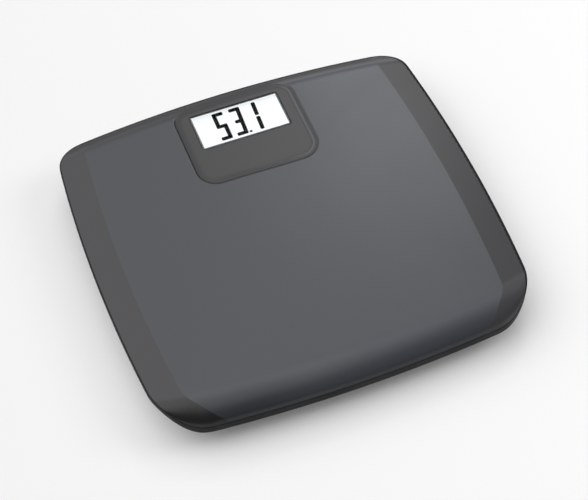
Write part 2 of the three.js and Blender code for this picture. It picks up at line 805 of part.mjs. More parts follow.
// Feet
function footCup() {
  const radius = footCupDiameter / 2;
  const inner = radius - footCupWall;
  const flange = footFlangeDiameter / 2;
  const padSeat = footPadDiameter / 2 + seatGap;
  const flangeTop = flangeBottom + footFlangeThickness;
  const padSeatTop = footPadHeight + seatGap;
  return revolve([
    [0, padSeatTop], [padSeat, padSeatTop], [padSeat, cupBottom], [radius, cupBottom],
    [radius, flangeBottom], [flange, flangeBottom], [flange, flangeTop], [radius, flangeTop],
    [radius, cupTop], [inner, cupTop], [inner, ledgeTop], [inner - cellLedgeWidth, ledgeTop],
    [inner - cellLedgeWidth, cupFloorTop], [0, cupFloorTop],
  ]);
}

function footPad() {
  const radius = footPadDiameter / 2;
  return revolve([
    [0, 0], [radius - footPadEdge, 0], [radius, footPadEdge], [radius, footPadHeight], [0, footPadHeight],
  ]);
}

function loadCell() {
  const half = cellWidth / 2;
  const plate = roundedRectangle(-half, half, -half, half, cellCornerRadius);
  const rail = half - cellSlotWidth - cellTongueWidth / 2;
  const slotInner = cellTongueWidth / 2;
  const slotOuter = slotInner + cellSlotWidth;
  const slot = new THREE.Path();
  slot.moveTo(-slotOuter, -rail);
  slot.lineTo(-slotInner, -rail);
  slot.lineTo(-slotInner, rail - cellSlotWidth);
  slot.lineTo(slotInner, rail - cellSlotWidth);
  slot.lineTo(slotInner, -rail);
  slot.lineTo(slotOuter, -rail);
  slot.lineTo(slotOuter, rail);
  slot.lineTo(-slotOuter, rail);
  slot.closePath();
  plate.holes.push(slot);
  return union(
    prism(plate, cellBottom, cellTop),
    rod(cellButtonDiameter / 2, cellTop - joinDepth, cellButtonTop),
  );
}

// Batteries and their contacts
function battery() {
  const [radius, nub] = [cellBatteryDiameter / 2, batteryNubDiameter / 2];
  const [low, high] = [-cellBatteryLength / 2, cellBatteryLength / 2];
  const shoulder = high - batteryNubHeight;
  return revolve([
    [0, low], [radius, low], [radius, shoulder],
    [nub, shoulder], [nub, high], [0, high],
  ], batterySteps);
}

function contactSpring() {
  const curve = new THREE.Curve();
  curve.getPoint = (t, target = new THREE.Vector3()) => {
    const angle = t * springTurns * 2 * Math.PI;
    const radius = THREE.MathUtils.lerp(springWideRadius, springNarrowRadius, t);
    const rise = springWire / 2 + t * (springLength - springWire);
    return target.set(radius * Math.cos(angle), radius * Math.sin(angle), rise);
  };
  return pipe(curve, springWire / 2, springTurns * springStepsPerTurn, springSides);
}

function batteryContact() {
  const half = contactWidth / 2;
  return block([-half, half], [-half, half], [0, contactThickness]);
}

// Battery door
function batteryDoor() {
  const corner = doorThickness / 2;
  const plate = block(
    [-doorHalfLength, doorHalfLength],
    [doorAxisY, bayY + doorHalfWidth],
    [trayBottom, doorTop],
  );
  const knuckle = rod(corner, -doorHalfLength, doorHalfLength).rotate([0, 90, 0]);
  const pinReach = doorHalfLength + doorPinLength;
  const pin = rod(doorPinRadius, -pinReach, pinReach).rotate([0, 90, 0]);
  const hinge = union(knuckle, pin).translate([0, doorAxisY, doorAxisZ]);
  const tabFront = bayY + doorHalfWidth - doorTabLength;
  const slots = [-1, 1].map((side) => {
    const middle = (side * (doorTabWidth + doorTabSlot)) / 2;
    const across = [middle - doorTabSlot / 2, middle + doorTabSlot / 2];
    const along = [tabFront, bayY + doorHalfWidth + cutOverrun];
    return block(across, along, [trayBottom - cutOverrun, doorTop + cutOverrun]);
  });
  const ridges = [1, 2, 3].map((k) => {
    const y = bayY + doorHalfWidth - (k * doorTabLength) / 4;
    const half = doorTabSlot / 2;
    const depth = [trayBottom - cutOverrun, trayBottom + half];
    return block([-doorTabWidth / 2 + half, doorTabWidth / 2 - half], [y - half / 2, y + half / 2], depth);
  });
  return union(plate, hinge).subtract(union(slots, ridges));
}

// Display stack
function displayLens() {
  const inOpening = prism(windowShape(-seatGap), lensFlangeBottom, platformHeight - seatGap);
  const flange = prism(windowShape(lensFlangeOverlap - seatGap), lensFlangeBottom, lensFlangeTop);
  return union(inOpening, flange);
}

function lcdPanel() {
  const [x, y] = [lcdWidth / 2, lcdHeight / 2];
  return block([-x, x], [windowY - y, windowY + y], [lcdBottom, lcdTop]);
}

const connectorY = windowY - lcdHeight / 2 + connectorWidth / 2 + seatGap;

function backlight() {
  const [x, front] = [lcdWidth / 2, connectorY + connectorWidth / 2 + seatGap];
  return block([-x, x], [front, windowY + lcdHeight / 2], [backlightBottom, backlightTop]);
}

function connectorStrip() {
  const half = connectorWidth / 2;
  return block(
    [-connectorLength / 2, connectorLength / 2],
    [connectorY - half, connectorY + half],
    [boardTop + seatGap, lcdBottom - seatGap],
  );
}

function lcdFrame() {
  const outer = block(
    [-frameOuterX, frameOuterX],
    [windowY - frameOuterY, windowY + frameOuterY],
    [frameBottom, lcdTop],
  );
  const hollow = block(
    [-frameInnerX, frameInnerX],
    [windowY - frameInnerY, windowY + frameInnerY],
    [frameFloorTop, lcdTop + cutOverrun],
  );
  const slotHalf = connectorWidth / 2 + seatGap;
  const slotLength = connectorLength / 2 + seatGap;
  const slot = block([-slotLength, slotLength], [connectorY - slotHalf, connectorY + slotHalf],
    [frameBottom - cutOverrun, frameFloorTop + cutOverrun]);
  const ears = boardScrews.map(([x, y]) =>
    rod(frameEarDiameter / 2, frameBottom, frameFloorTop).translate([x, y, 0]),
  );
  const bossRoom = boardScrews.map(([x, y]) =>
    rod(frameEarDiameter / 2 + seatGap, frameFloorTop, lcdTop + cutOverrun).translate([x, y, 0]),
  );
  const holes = boardScrews.map(([x, y]) =>
    rod(screwShankDiameter / 2 + pilotClearance, frameBottom - cutOverrun, frameFloorTop + cutOverrun)
      .translate([x, y, 0]),
  );
  return union(outer.subtract(union(bossRoom)), ears).subtract(union(hollow, slot, holes));
}

function controlBoard() {
  const board = block([-boardHalfWidth, boardHalfWidth], [boardFront, boardBack], [boardBottom, boardTop]);
  const holes = boardScrews.map(([x, y]) =>
    rod(screwShankDiameter / 2 + pilotClearance, boardBottom - cutOverrun, boardTop + cutOverrun)
      .translate([x, y, 0]),
  );
  const half = chipWidth / 2;
  const chip = block([-half, half], [windowY - half, windowY + half], [boardBottom - chipHeight, boardTop]);
  return union(board, chip).subtract(union(holes));
}

// Unit switch
function unitButton() {
  const radius = unitButtonDiameter / 2;
  const flange = radius + unitButtonFlange;
  const stem = unitButtonStemDiameter / 2;
  const bottom = trayBottom - unitButtonProud;
  const flangeTop = buttonFlangeBottom + unitButtonFlangeThickness;
  return revolve([
    [0, bottom], [radius - unitButtonProud, bottom], [radius, bottom + unitButtonProud],
    [radius, buttonFlangeBottom], [flange, buttonFlangeBottom], [flange, flangeTop],
    [stem, flangeTop], [stem, buttonStemTop], [0, buttonStemTop],
  ], batterySteps);
}

function unitSwitch() {
  const half = switchBodyWidth / 2;
  return union(
    block([-half, half], [-half, half], [switchBodyBottom, switchBodyBottom + switchBodyHeight]),
    rod(switchPlungerDiameter / 2, plungerBottom, switchBodyBottom + joinDepth),
  );
}

function switchBoard() {
  const [x, y] = [switchBoardWidth / 2, switchBoardDepth / 2];
  const board = block([-x, x], [-y, y], [switchBoardBottom, switchBoardTop]);
  const holes = [-switchPostX, switchPostX].map((hole) =>
    rod(screwShankDiameter / 2 + pilotClearance, switchBoardBottom - cutOverrun, switchBoardTop + cutOverrun)
      .translate([hole, 0, 0]),
  );
  return board.subtract(union(holes));
}

// Leads
function pipe(curve, radius, steps, sides = leadSides) {
  const section = new THREE.Shape();
  for (let k = 0; k < sides; k++) {
    const angle = (2 * Math.PI * k) / sides;
    section[k ? 'lineTo' : 'moveTo'](radius * Math.cos(angle), radius * Math.sin(angle));
  }
  const settings = { steps, extrudePath: curve, bevelEnabled: false, curveSegments: 1 };
  return solid(new THREE.ExtrudeGeometry(section, settings));
}

function lead(points, radius) {
  const curve = new THREE.CatmullRomCurve3(points.map((p) => new THREE.Vector3(...p)), false, 'centripetal');
  return pipe(curve, radius, Math.round(curve.getLength() / leadStep));
}

// A lead runs from a load cell over the cup's wall and through the notch, then along the tray to the board
function cellLead([x, y], turns) {
  const heading = inwardTurn(x, y);
  const away = (radius, z) => [x + radius * Math.cos(heading), y + radius * Math.sin(heading), z];
  const overWall = footCupDiameter / 2 - footCupWall / 2;
  const wellOuter = footWellInner + footWellWall;
  const start = cellTop + footTravel + seatGap + leadRadius;
  return lead([
    away(cellButtonDiameter + leadDiameter, start),
    away(overWall - leadDiameter, leadHighZ),
    away(overWall + leadDiameter, leadHighZ),
    away(wellOuter + leadDiameter, leadFloorZ + leadDiameter),
    away(wellOuter + 3 * leadDiameter, leadFloorZ + leadRadius / 4),
    away(wellOuter + 5 * leadDiameter, leadFloorZ),
    ...turns.map(([u, v]) => [Math.sign(x) * u, v, leadFloorZ]),
    [Math.sign(x) * leadEndX(y), boardFront, (leadFloorZ + boardLeadZ) / 2],
    [Math.sign(x) * leadEndX(y), boardFront + boardFrontMargin, boardLeadZ],
  ], leadRadius);
}

const boardLeadZ = boardBottom - seatGap - leadRadius;
const leadLane = doorHalfLength + doorFrameWall + 3 * leadDiameter;
const leadEndX = (y) => (y < 0 ? leadLane - 2 * leadDiameter : leadLane + leadDiameter);
const leadTurns = (y) =>
  y < 0
    ? [[leadLane, -bayY], [leadLane, bayY], [leadLane, boardFront - 3 * boardFrontMargin]]
    : [[boardHalfWidth, boardFront - boardFrontMargin]];

function powerLead(side) {
  const radius = powerLeadDiameter / 2;
  const x = side * (bayHalfLength - bayWall - powerLeadDiameter);
  const high = bayCeiling - 2 * powerLeadDiameter;
  return lead([
    [x, bayY + bayHalfWidth + bayWall + seatGap, high],
    [x, bayY + bayHalfWidth + 2 * boardFrontMargin, high],
    [x, boardFront - boardFrontMargin / 2, boardBottom - 2 * powerLeadDiameter],
    [x, boardFront + boardFrontMargin, boardBottom - seatGap - radius],
  ], radius);
}

function switchLead() {
  const radius = powerLeadDiameter / 2;
  const start = switchBoardTop - boardThickness / 2;
  const end = boardBottom - seatGap - radius;
  const overCellLead = leadFloorZ + leadDiameter + powerLeadDiameter;
  const x = leadEndX(windowY) + 2 * leadDiameter;
  return lead([
    [unitButtonX, unitButtonY + switchBoardDepth / 2 + seatGap, start],
    [unitButtonX, unitButtonY + switchBoardDepth, overCellLead],
    [x + leadDiameter, boardFront - boardFrontMargin / 2, overCellLead],
    [x, boardFront + boardFrontMargin, end],
  ], radius);
}

// Assembly
add('platform_cover', platformCover(), materials.cover);
add('base_tray', baseTray(), materials.tray);
add('display_lens', displayLens(), materials.lens);
add('lcd_panel', lcdPanel(), materials.lcd);
add('backlight_panel', backlight(), materials.backlight);
add('connector_strip', connectorStrip(), materials.strip);
add('lcd_frame', lcdFrame(), materials.frame);
add('control_board', controlBoard(), materials.board);
add('unit_button', unitButton(), materials.button, [unitButtonX, unitButtonY, 0]);
add('unit_switch', unitSwitch(), materials.switchBody, [unitButtonX, unitButtonY, 0]);
add('switch_board', switchBoard(), materials.board, [unitButtonX, unitButtonY, 0]);
add('switch_lead', switchLead(), materials.lead);
add('battery_door', batteryDoor(), materials.tray);

[-1, 1].forEach((side, k) => {
  const turned = (body) => body.rotate([0, side * THREE.MathUtils.radToDeg(Math.PI / 2), 0]);
  const y = bayY - (side * batterySpacing) / 2;
  const contactX = side * (bayHalfLength - seatGap - contactThickness);
  const batteryX = contactX - side * (seatGap + cellBatteryLength / 2);
  add(`battery_${k + 1}`, turned(battery()), materials.battery, [batteryX, y, batteryZ]);
  add(`battery_contact_${k + 1}`, turned(batteryContact()), materials.nickel, [contactX, y, batteryZ]);
  add(`battery_spring_${k + 1}`, turned(contactSpring()), materials.nickel,
    [-side * (bayHalfLength - seatGap), y, batteryZ]);
  add(`power_lead_${k + 1}`, powerLead(side), materials.lead);
});

feet.forEach(([x, y], k) => {
  add(`foot_cup_${k + 1}`, footCup(), materials.cup, [x, y, 0]);
  add(`foot_pad_${k + 1}`, footPad(), materials.rubber, [x, y, 0]);
  add(`load_cell_${k + 1}`, loadCell(), materials.steel, [x, y, 0], inwardTurn(x, y));
  add(`cell_lead_${k + 1}`, cellLead([x, y], leadTurns(y)), materials.lead);
});

caseScrews.forEach(([x, y], k) => {
  const seat = screwSeatTop - screwSeatThickness - seatGap;
  add(`case_screw_${k + 1}`, screw(caseScrewLength), materials.zinc, [x, y, seat]);
});

boardScrews.forEach(([x, y], k) => {
  add(`board_screw_${k + 1}`, screw(boardScrewLength), materials.zinc, [x, y, boardBottom - seatGap]);
});

switchPosts.forEach(([x, y], k) => {
  const turned = screw(switchScrewLength).rotate([THREE.MathUtils.radToDeg(Math.PI), 0, 0]);
  add(`switch_screw_${k + 1}`, turned, materials.zinc, [x, y, switchScrewSeat]);
});

export default scale;
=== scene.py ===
import json
import math

import bmesh
import bpy
from mathutils import Matrix, Vector
from mathutils.geometry import delaunay_2d_cdt

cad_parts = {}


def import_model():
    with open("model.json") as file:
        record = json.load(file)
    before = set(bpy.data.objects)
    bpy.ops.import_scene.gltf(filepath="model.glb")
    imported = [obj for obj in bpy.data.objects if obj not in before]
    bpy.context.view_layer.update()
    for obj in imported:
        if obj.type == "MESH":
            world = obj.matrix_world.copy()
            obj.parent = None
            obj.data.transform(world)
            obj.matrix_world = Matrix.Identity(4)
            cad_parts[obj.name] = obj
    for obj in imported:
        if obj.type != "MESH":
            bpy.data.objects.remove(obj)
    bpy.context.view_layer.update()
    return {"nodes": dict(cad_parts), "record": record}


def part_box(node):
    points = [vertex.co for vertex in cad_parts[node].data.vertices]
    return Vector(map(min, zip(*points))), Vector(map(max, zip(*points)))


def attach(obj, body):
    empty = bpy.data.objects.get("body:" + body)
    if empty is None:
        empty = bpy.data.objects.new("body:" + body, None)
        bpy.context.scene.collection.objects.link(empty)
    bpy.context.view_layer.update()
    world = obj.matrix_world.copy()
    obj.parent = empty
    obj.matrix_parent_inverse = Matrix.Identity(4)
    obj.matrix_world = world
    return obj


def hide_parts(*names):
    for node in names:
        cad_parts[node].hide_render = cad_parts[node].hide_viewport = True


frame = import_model()
nodes = frame["nodes"]

MM = 0.001  # sizes are in millimetres where no comment says metres

# Sizes taken from the frame
cover_low, cover_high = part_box("platform_cover")
WIDTH = (cover_high.x - cover_low.x) / MM
DEPTH = (cover_high.y - cover_low.y) / MM
HEIGHT = cover_high.z / MM

# Platform outline
SIDE_BOW = 9.4
FRONT_BOW = 10.0
BACK_BOW = 12.0
FRONT_CORNER = 36.0
BACK_CORNER = 19.5

# Platform surface. Here and below, a RAMP is where a change starts and how far it spans.
COVER_WALL = 2.5
RIM_LIP = 4.0
RIM_EDGE = 0.5
BAND_WIDTH = 23.0
BAND_DROP = 1.5
FRONT_ROLL = 26.0
FRONT_DROP = 15.5
BACK_ROLL = 16.0
BACK_DROP = 4.0
FLAT_CORNER = 8.0
FOLD_SETBACK = 31.0
FOLD_ANGLE = math.radians(13)
FOLD_SHARPNESS_SHARE = 0.27
FOLD_ROUNDING = 7.0
RIM_FALL_RAMP = (math.radians(16), math.radians(60))

# Display pod and window
POD_HALF_WIDTH = 52.0
POD_FRONT = 58.0
POD_BACK = 141.0
POD_FRONT_RADIUS = 17.0
POD_BACK_RADIUS = 15.0
GROOVE_SHIFT_LEFT, GROOVE_SHIFT_RIGHT = 1.2, 0.2
GROOVE_SIDE_RAMP = (-30.0, 60.0)  # from its left side to its right one
GROOVE_INSIDE = 5.6
GROOVE_OUTSIDE = 2.4
GROOVE_DEPTH = 0.55
GROOVE_FADE = 0.85
GROOVE_FADE_RAMP = (130.0, 9.0)
WINDOW_WIDTH = 76.2
WINDOW_HEIGHT = 35.4
WINDOW_Y = 113.0
WINDOW_LOW, WINDOW_HIGH = WINDOW_Y - WINDOW_HEIGHT / 2, WINDOW_Y + WINDOW_HEIGHT / 2
WINDOW_CORNER = 1.2
WINDOW_EDGE = 0.35
LEAST_RADIUS = 0.01

# Steps in the fine mesh
STRETCHES = (("front", 40), ("front_corner", 34), ("side", 44), ("back_corner", 22), ("back", 36))
SKIN_ROWS = 14
STRIP_ROWS = 11
GROOVE_ROWS = 20
GROOVE_STEPS = (14, 16)  # in each corner and on each side
WINDOW_STEPS = (6, 10)
BORDER_STEPS = (5, 2)
EDGE_STEPS = 4
FOLD_LINES = 3  # on each side of the fold
FOLD_STEPS = 12
FOLD_FROM, FOLD_TO = 118.0, 158.0
SETTLE_PASSES = 16
CREASE_STEPS = 80
NORMAL_STEP = 0.02
PULL_IN, PULL_LIMIT = 0.06, 0.5  # how far into its face, in mm and as a share, a corner's normal is taken
LEVEL_MARGIN = 1e-4
MESH_MARGIN = 1e-5
LEAST_LENGTH = 1e-6


# Small helpers
def clamp(value, low=0.0, high=1.0):
    return max(low, min(high, value))


def mix(a, b, share):
    return a + (b - a) * share


def smoothstep(value):
    t = clamp(value)
    return t * t * (3 - 2 * t)


def ramp(value, start, span):
    return smoothstep((value - start) / span)


def peak(value, place, reach):
    return math.exp(-(((value - place) / reach) ** 2))


def quarter_shares(steps):
    """Shares from 0 to 1 that lie close together at first, as the rows of a rounded edge do."""
    return [1 - math.cos(k / steps * math.pi / 2) for k in range(steps + 1)]


def new_object(name, data):
    """Puts a mesh, lamp or camera in the scene."""
    thing = bpy.data.objects.new(name, data)
    bpy.context.scene.collection.objects.link(thing)
    return thing


ROW_SHARES = quarter_shares(SKIN_ROWS)
BACK_STRIP = mix(RIM_EDGE, BACK_ROLL, ROW_SHARES[STRIP_ROWS])  # ends on a row of the mesh


# Platform surface as formulas
def side_at(y):
    return WIDTH / 2 - SIDE_BOW * (2 * y / DEPTH) ** 2


def front_at(x):
    return -DEPTH / 2 + FRONT_BOW * (2 * x / WIDTH) ** 2


def back_at(x):
    return DEPTH / 2 - BACK_BOW * (2 * x / WIDTH) ** 2


def settle(side_distance, end_distance, at_front):
    """The point that keeps a distance from the side and one from the front or the back."""
    y = 0.0
    for _ in range(SETTLE_PASSES):
        x = side_at(y) - side_distance
        y = front_at(x) + end_distance if at_front else back_at(x) - end_distance
    return x, y


def distances(x, y):
    """Distances in from the side, the front, the back and the rounded outline, and the corner's heading."""
    side = side_at(y) - abs(x)
    front = y - front_at(x)
    back = back_at(x) - y
    end, radius = (front, FRONT_CORNER) if y < 0 else (back, BACK_CORNER)
    u, v = max(radius - side, 0), max(radius - end, 0)
    edge = radius - math.hypot(u, v) if u > 0 and v > 0 else min(side, end)
    return side, front, back, edge, math.atan2(v, u)


def quarter_roll(share):
    return 1 - math.sqrt(max(1 - share * share, 0))


def back_fall(back):
    return BACK_DROP * clamp(1 - back / BACK_ROLL) ** 2


def middle_height(front, back):
    return HEIGHT - FRONT_DROP * quarter_roll(clamp(1 - front / FRONT_ROLL)) - back_fall(back)


def past_fold(x, y):
    """How far a place on the side facet lies past its fold at the front corner."""
    fold_x, fold_y = WIDTH / 2 - BAND_WIDTH, -DEPTH / 2 + FOLD_SETBACK
    return math.sin(FOLD_ANGLE) * (abs(x) - fold_x) - math.cos(FOLD_ANGLE) * (y - fold_y)


def band_height(x, y, side, back, edge, heading):
    facet = HEIGHT - BAND_DROP * (1 - side / BAND_WIDTH)
    past = past_fold(x, y)
    if y > 0 or past <= -FOLD_ROUNDING:
        return facet - back_fall(back)
    if past < FOLD_ROUNDING:
        past = (past + FOLD_ROUNDING) ** 2 / (4 * FOLD_ROUNDING)
    share = clamp(past / (past + max(edge, 0)))
    rim = HEIGHT - BAND_DROP - (FRONT_DROP - BAND_DROP) * ramp(heading, *RIM_FALL_RAMP)
    bend = FOLD_SHARPNESS_SHARE * share + (1 - FOLD_SHARPNESS_SHARE) * quarter_roll(share)
    return facet - (facet - rim) * bend


def sheets(x, y):
    """Heights of the rolled middle and of the side facet. The lower one is the surface."""
    side, front, back, edge, heading = distances(x, y)
    return middle_height(front, back), band_height(x, y, side, back, edge, heading)


def rounded_distance(x, y, half_width, low, high, low_radius, high_radius):
    """Signed distance to a rounded rectangle in plan, negative inside."""
    middle, half_height = (low + high) / 2, (high - low) / 2
    radius = low_radius if y < middle else high_radius
    u = abs(x) - half_width + radius
    v = abs(y - middle) - half_height + radius
    return math.hypot(max(u, 0), max(v, 0)) + min(max(u, v), 0) - radius


def pod_distance(x, y):
    return rounded_distance(x, y, POD_HALF_WIDTH, POD_FRONT, POD_BACK, POD_FRONT_RADIUS, POD_BACK_RADIUS)


def window_distance(x, y):
    return rounded_distance(x, y, WINDOW_WIDTH / 2, WINDOW_LOW, WINDOW_HIGH, WINDOW_CORNER, WINDOW_CORNER)


def groove_distance(x, y):
    """Signed distance to the bottom of the groove, a little inside the pod's outline, more so at the left."""
    return pod_distance(x, y) + mix(GROOVE_SHIFT_LEFT, GROOVE_SHIFT_RIGHT, ramp(x, *GROOVE_SIDE_RAMP))


def groove_strength(y):
    """The groove fades out towards the back edge."""
    return 1 - GROOVE_FADE * ramp(y, *GROOVE_FADE_RAMP)


def groove_drop(x, y):
    away = groove_distance(x, y)
    reach = GROOVE_INSIDE if away < 0 else GROOVE_OUTSIDE
    return GROOVE_DEPTH * groove_strength(y) * smoothstep(1 - abs(away) / reach)


def surface(x, y):
    """Height of the platform's top, with the pod's groove and the window's rounded edge."""
    near = clamp(1 - window_distance(x, y) / WINDOW_EDGE)
    return min(sheets(x, y)) - groove_drop(x, y) - WINDOW_EDGE * quarter_roll(near)


def surface_normal(x, y):
    step = NORMAL_STEP
    slope_x = (surface(x + step, y) - surface(x - step, y)) / (2 * step)
    slope_y = (surface(x, y + step) - surface(x, y - step)) / (2 * step)
    return Vector((-slope_x, -slope_y, 1)).normalized()


# Places round the outline
def outline_columns():
    """Columns of the mesh, once round: the stretch, the share of the way along it, and the side."""
    half = [(name, k / steps, 1) for name, steps in STRETCHES for k in range(steps)]
    other = [(name, share, -1) for name, share, _ in reversed(half[1:])]
    return half + [("back", 1.0, 1)] + other


def inset_at(share, rim=RIM_EDGE):
    """Distances in from the side, front and back, and the two corner radii, on the way in to the flat."""
    ends = (
        (rim, BAND_WIDTH),
        (rim, FRONT_ROLL),
        (rim, BACK_ROLL),
        (FRONT_CORNER - rim, FLAT_CORNER),
        (BACK_CORNER - rim, FLAT_CORNER),
    )
    return [mix(outer, inner, share) for outer, inner in ends]


def place(column, inset):
    """The point in plan where a column of the mesh meets an inset outline."""
    name, share, mirror = column
    side, front, back, front_radius, back_radius = inset
    across, along = 1 - math.sin(share * math.pi / 2), 1 - math.cos(share * math.pi / 2)
    if name == "front":
        x = settle(side + front_radius, front, True)[0] * share
        point = x, front_at(x) + front
    elif name == "front_corner":
        point = settle(side + front_radius * across, front + front_radius * along, True)
    elif name == "side":
        low = settle(side, front + front_radius, True)[1]
        high = settle(side, back + back_radius, False)[1]
        y = low * (1 - 2 * share) if share < 0.5 else high * (2 * share - 1)
        point = side_at(y) - side, y
    elif name == "back_corner":
        point = settle(side + back_radius * along, back + back_radius * across, False)
    else:
        x = settle(side + back_radius, back, False)[0] * (1 - share)
        point = x, back_at(x) - back
    return mirror * point[0], point[1]


def crease_point(column):
    """Where the crease crosses a column, if it does."""
    def lead(share):
        middle, band = sheets(*place(column, inset_at(share)))
        return middle - band

    for k in range(1, CREASE_STEPS - 1):
        low, high = k / CREASE_STEPS, (k + 1) / CREASE_STEPS
        if lead(low) > 0 >= lead(high):
            for _ in range(SETTLE_PASSES):
                middle = (low + high) / 2
                low, high = (middle, high) if lead(middle) > 0 else (low, middle)
            return place(column, inset_at(low))
    return None


def fold_lines(mirror):
    """Lines along the rounded fold at a front corner."""
    lines = []
    for j in range(-FOLD_LINES, FOLD_LINES + 1):
        line = []
        for k in range(FOLD_STEPS):
            x = mix(FOLD_FROM, FOLD_TO, k / (FOLD_STEPS - 1))
            y = -DEPTH / 2 + FOLD_SETBACK + math.tan(FOLD_ANGLE) * (x - WIDTH / 2 + BAND_WIDTH)
            y += j * FOLD_ROUNDING / FOLD_LINES / math.cos(FOLD_ANGLE)
            middle, band = sheets(x, y)
            if band <= middle and distances(x, y)[3] > RIM_EDGE:
                line.append((mirror * x, y))
        lines.append(line)
    return lines


def rounded_loop(half_width, low, high, low_radius, high_radius, offset, steps):
    """Points of a rounded rectangle, grown by an offset."""
    arc_steps, side_steps = steps
    half_width, low, high = half_width + offset, low - offset, high + offset
    low_radius, high_radius = max(low_radius + offset, LEAST_RADIUS), max(high_radius + offset, LEAST_RADIUS)
    corners = (
        (half_width - low_radius, low + low_radius, low_radius, -90),
        (half_width - high_radius, high - high_radius, high_radius, 0),
        (high_radius - half_width, high - high_radius, high_radius, 90),
        (low_radius - half_width, low + low_radius, low_radius, 180),
    )
    arcs = []
    for x, y, radius, start in corners:
        for k in range(arc_steps + 1):
            angle = math.radians(start + 90 * k / arc_steps)
            arcs.append((x + radius * math.cos(angle), y + radius * math.sin(angle)))
    points = []
    for k, point in enumerate(arcs):
        following = arcs[(k + 1) % len(arcs)]
        points.append(point)
        if k % (arc_steps + 1) == arc_steps:
            for j in range(1, side_steps):
                share = j / side_steps
                points.append((mix(point[0], following[0], share), mix(point[1], following[1], share)))
    return points


def pod_loop(offset):
    sizes = POD_HALF_WIDTH, POD_FRONT, POD_BACK, POD_FRONT_RADIUS, POD_BACK_RADIUS
    return rounded_loop(*sizes, offset, GROOVE_STEPS)


def window_loop(offset, steps=WINDOW_STEPS):
    sizes = WINDOW_WIDTH / 2, WINDOW_LOW, WINDOW_HIGH, WINDOW_CORNER, WINDOW_CORNER
    return rounded_loop(*sizes, offset, steps)


# Mesh building
class Lines:
    """Lines in plan that a mesh of triangles has to follow."""

    def __init__(self):
        self.points, self.edges = [], []

    def add(self, line, closed=True):
        start, count = len(self.points), len(line)
        self.points += [Vector(p) for p in line]
        last = count if closed else count - 1
        self.edges += [(start + i, start + (i + 1) % count) for i in range(last)]

    def triangulated(self):
        corners, _, triangles, *_ = delaunay_2d_cdt(self.points, self.edges, [], 0, MESH_MARGIN)
        return corners, triangles


class Skin:
    """Collects faces with their normals, materials and tones, the tones being painted light and shade, and
    makes one smooth mesh of them.
    """

    def __init__(self):
        self.points, self.faces, self.normals, self.slots, self.tones = [], [], [], [], []

    def face(self, corners, normals, slot, tones=None):
        start = len(self.points)
        self.tones += tones or [1.0] * len(corners)
        self.points += [tuple(c * MM for c in corner) for corner in corners]
        self.faces.append(tuple(range(start, start + len(corners))))
        self.normals += [tuple(n) for n in normals]
        self.slots.append(slot)

    def strip(self, rows, normals, slot):
        """Joins closed rows of points, which run the same way, with four-sided faces."""
        count = len(rows[0])
        for j in range(len(rows) - 1):
            for i in range(count):
                k = (i + 1) % count
                corners = [(j, i), (j, k), (j + 1, k), (j + 1, i)]
                self.face([rows[a][b] for a, b in corners], [normals[a][b] for a, b in corners], slot)

    def build(self, name, finishes):
        mesh = bpy.data.meshes.new(name)
        mesh.from_pydata(self.points, [], self.faces)
        for finish_name in finishes:
            mesh.materials.append(materials[finish_name])
        mesh.polygons.foreach_set("material_index", self.slots)
        tones = mesh.color_attributes.new("tone", "FLOAT_COLOR", "CORNER")
        tones.data.foreach_set("color", [c for tone in self.tones for c in (tone, tone, tone, 1.0)])
        mesh.shade_smooth()
        mesh.normals_split_custom_set(self.normals)
        mesh.update()
        return new_object(name, mesh)


def loop_normals(loop):
    """Outward normals in plan of a closed loop that runs anticlockwise."""
    normals = []
    for i in range(len(loop)):
        (x0, y0), (x1, y1) = loop[i - 1], loop[(i + 1) % len(loop)]
        normals.append(Vector((y1 - y0, x0 - x1, 0)).normalized())
    return normals


# Procedural materials
WHITE = (1, 1, 1, 1)
NOISE_LOW, NOISE_HIGH = 0.3, 0.7  # the levels that a noise mostly keeps between
SLOW_DETAIL, FINE_DETAIL = 4, 2
MIX_FACTOR, MIX_ONE, MIX_OTHER, MIX_RESULT = 0, 6, 7, 2  # a colour Mix node's sockets
COAT_ROUGHNESS = 0.2
WINDOW_IOR = 1.12  # less than real plastic, so that the window bends what lies behind it less
WINDOW_ROUGHNESS = (0.01, 0.03)
WINDOW_PATCH = 30.0
PANEL_PATCH = 25.0
PANEL_CHANGE = 0.01
PANEL_ROUGHNESS = 0.35
PANEL_UNLIT = 0.15  # how light the panel is without its backlight


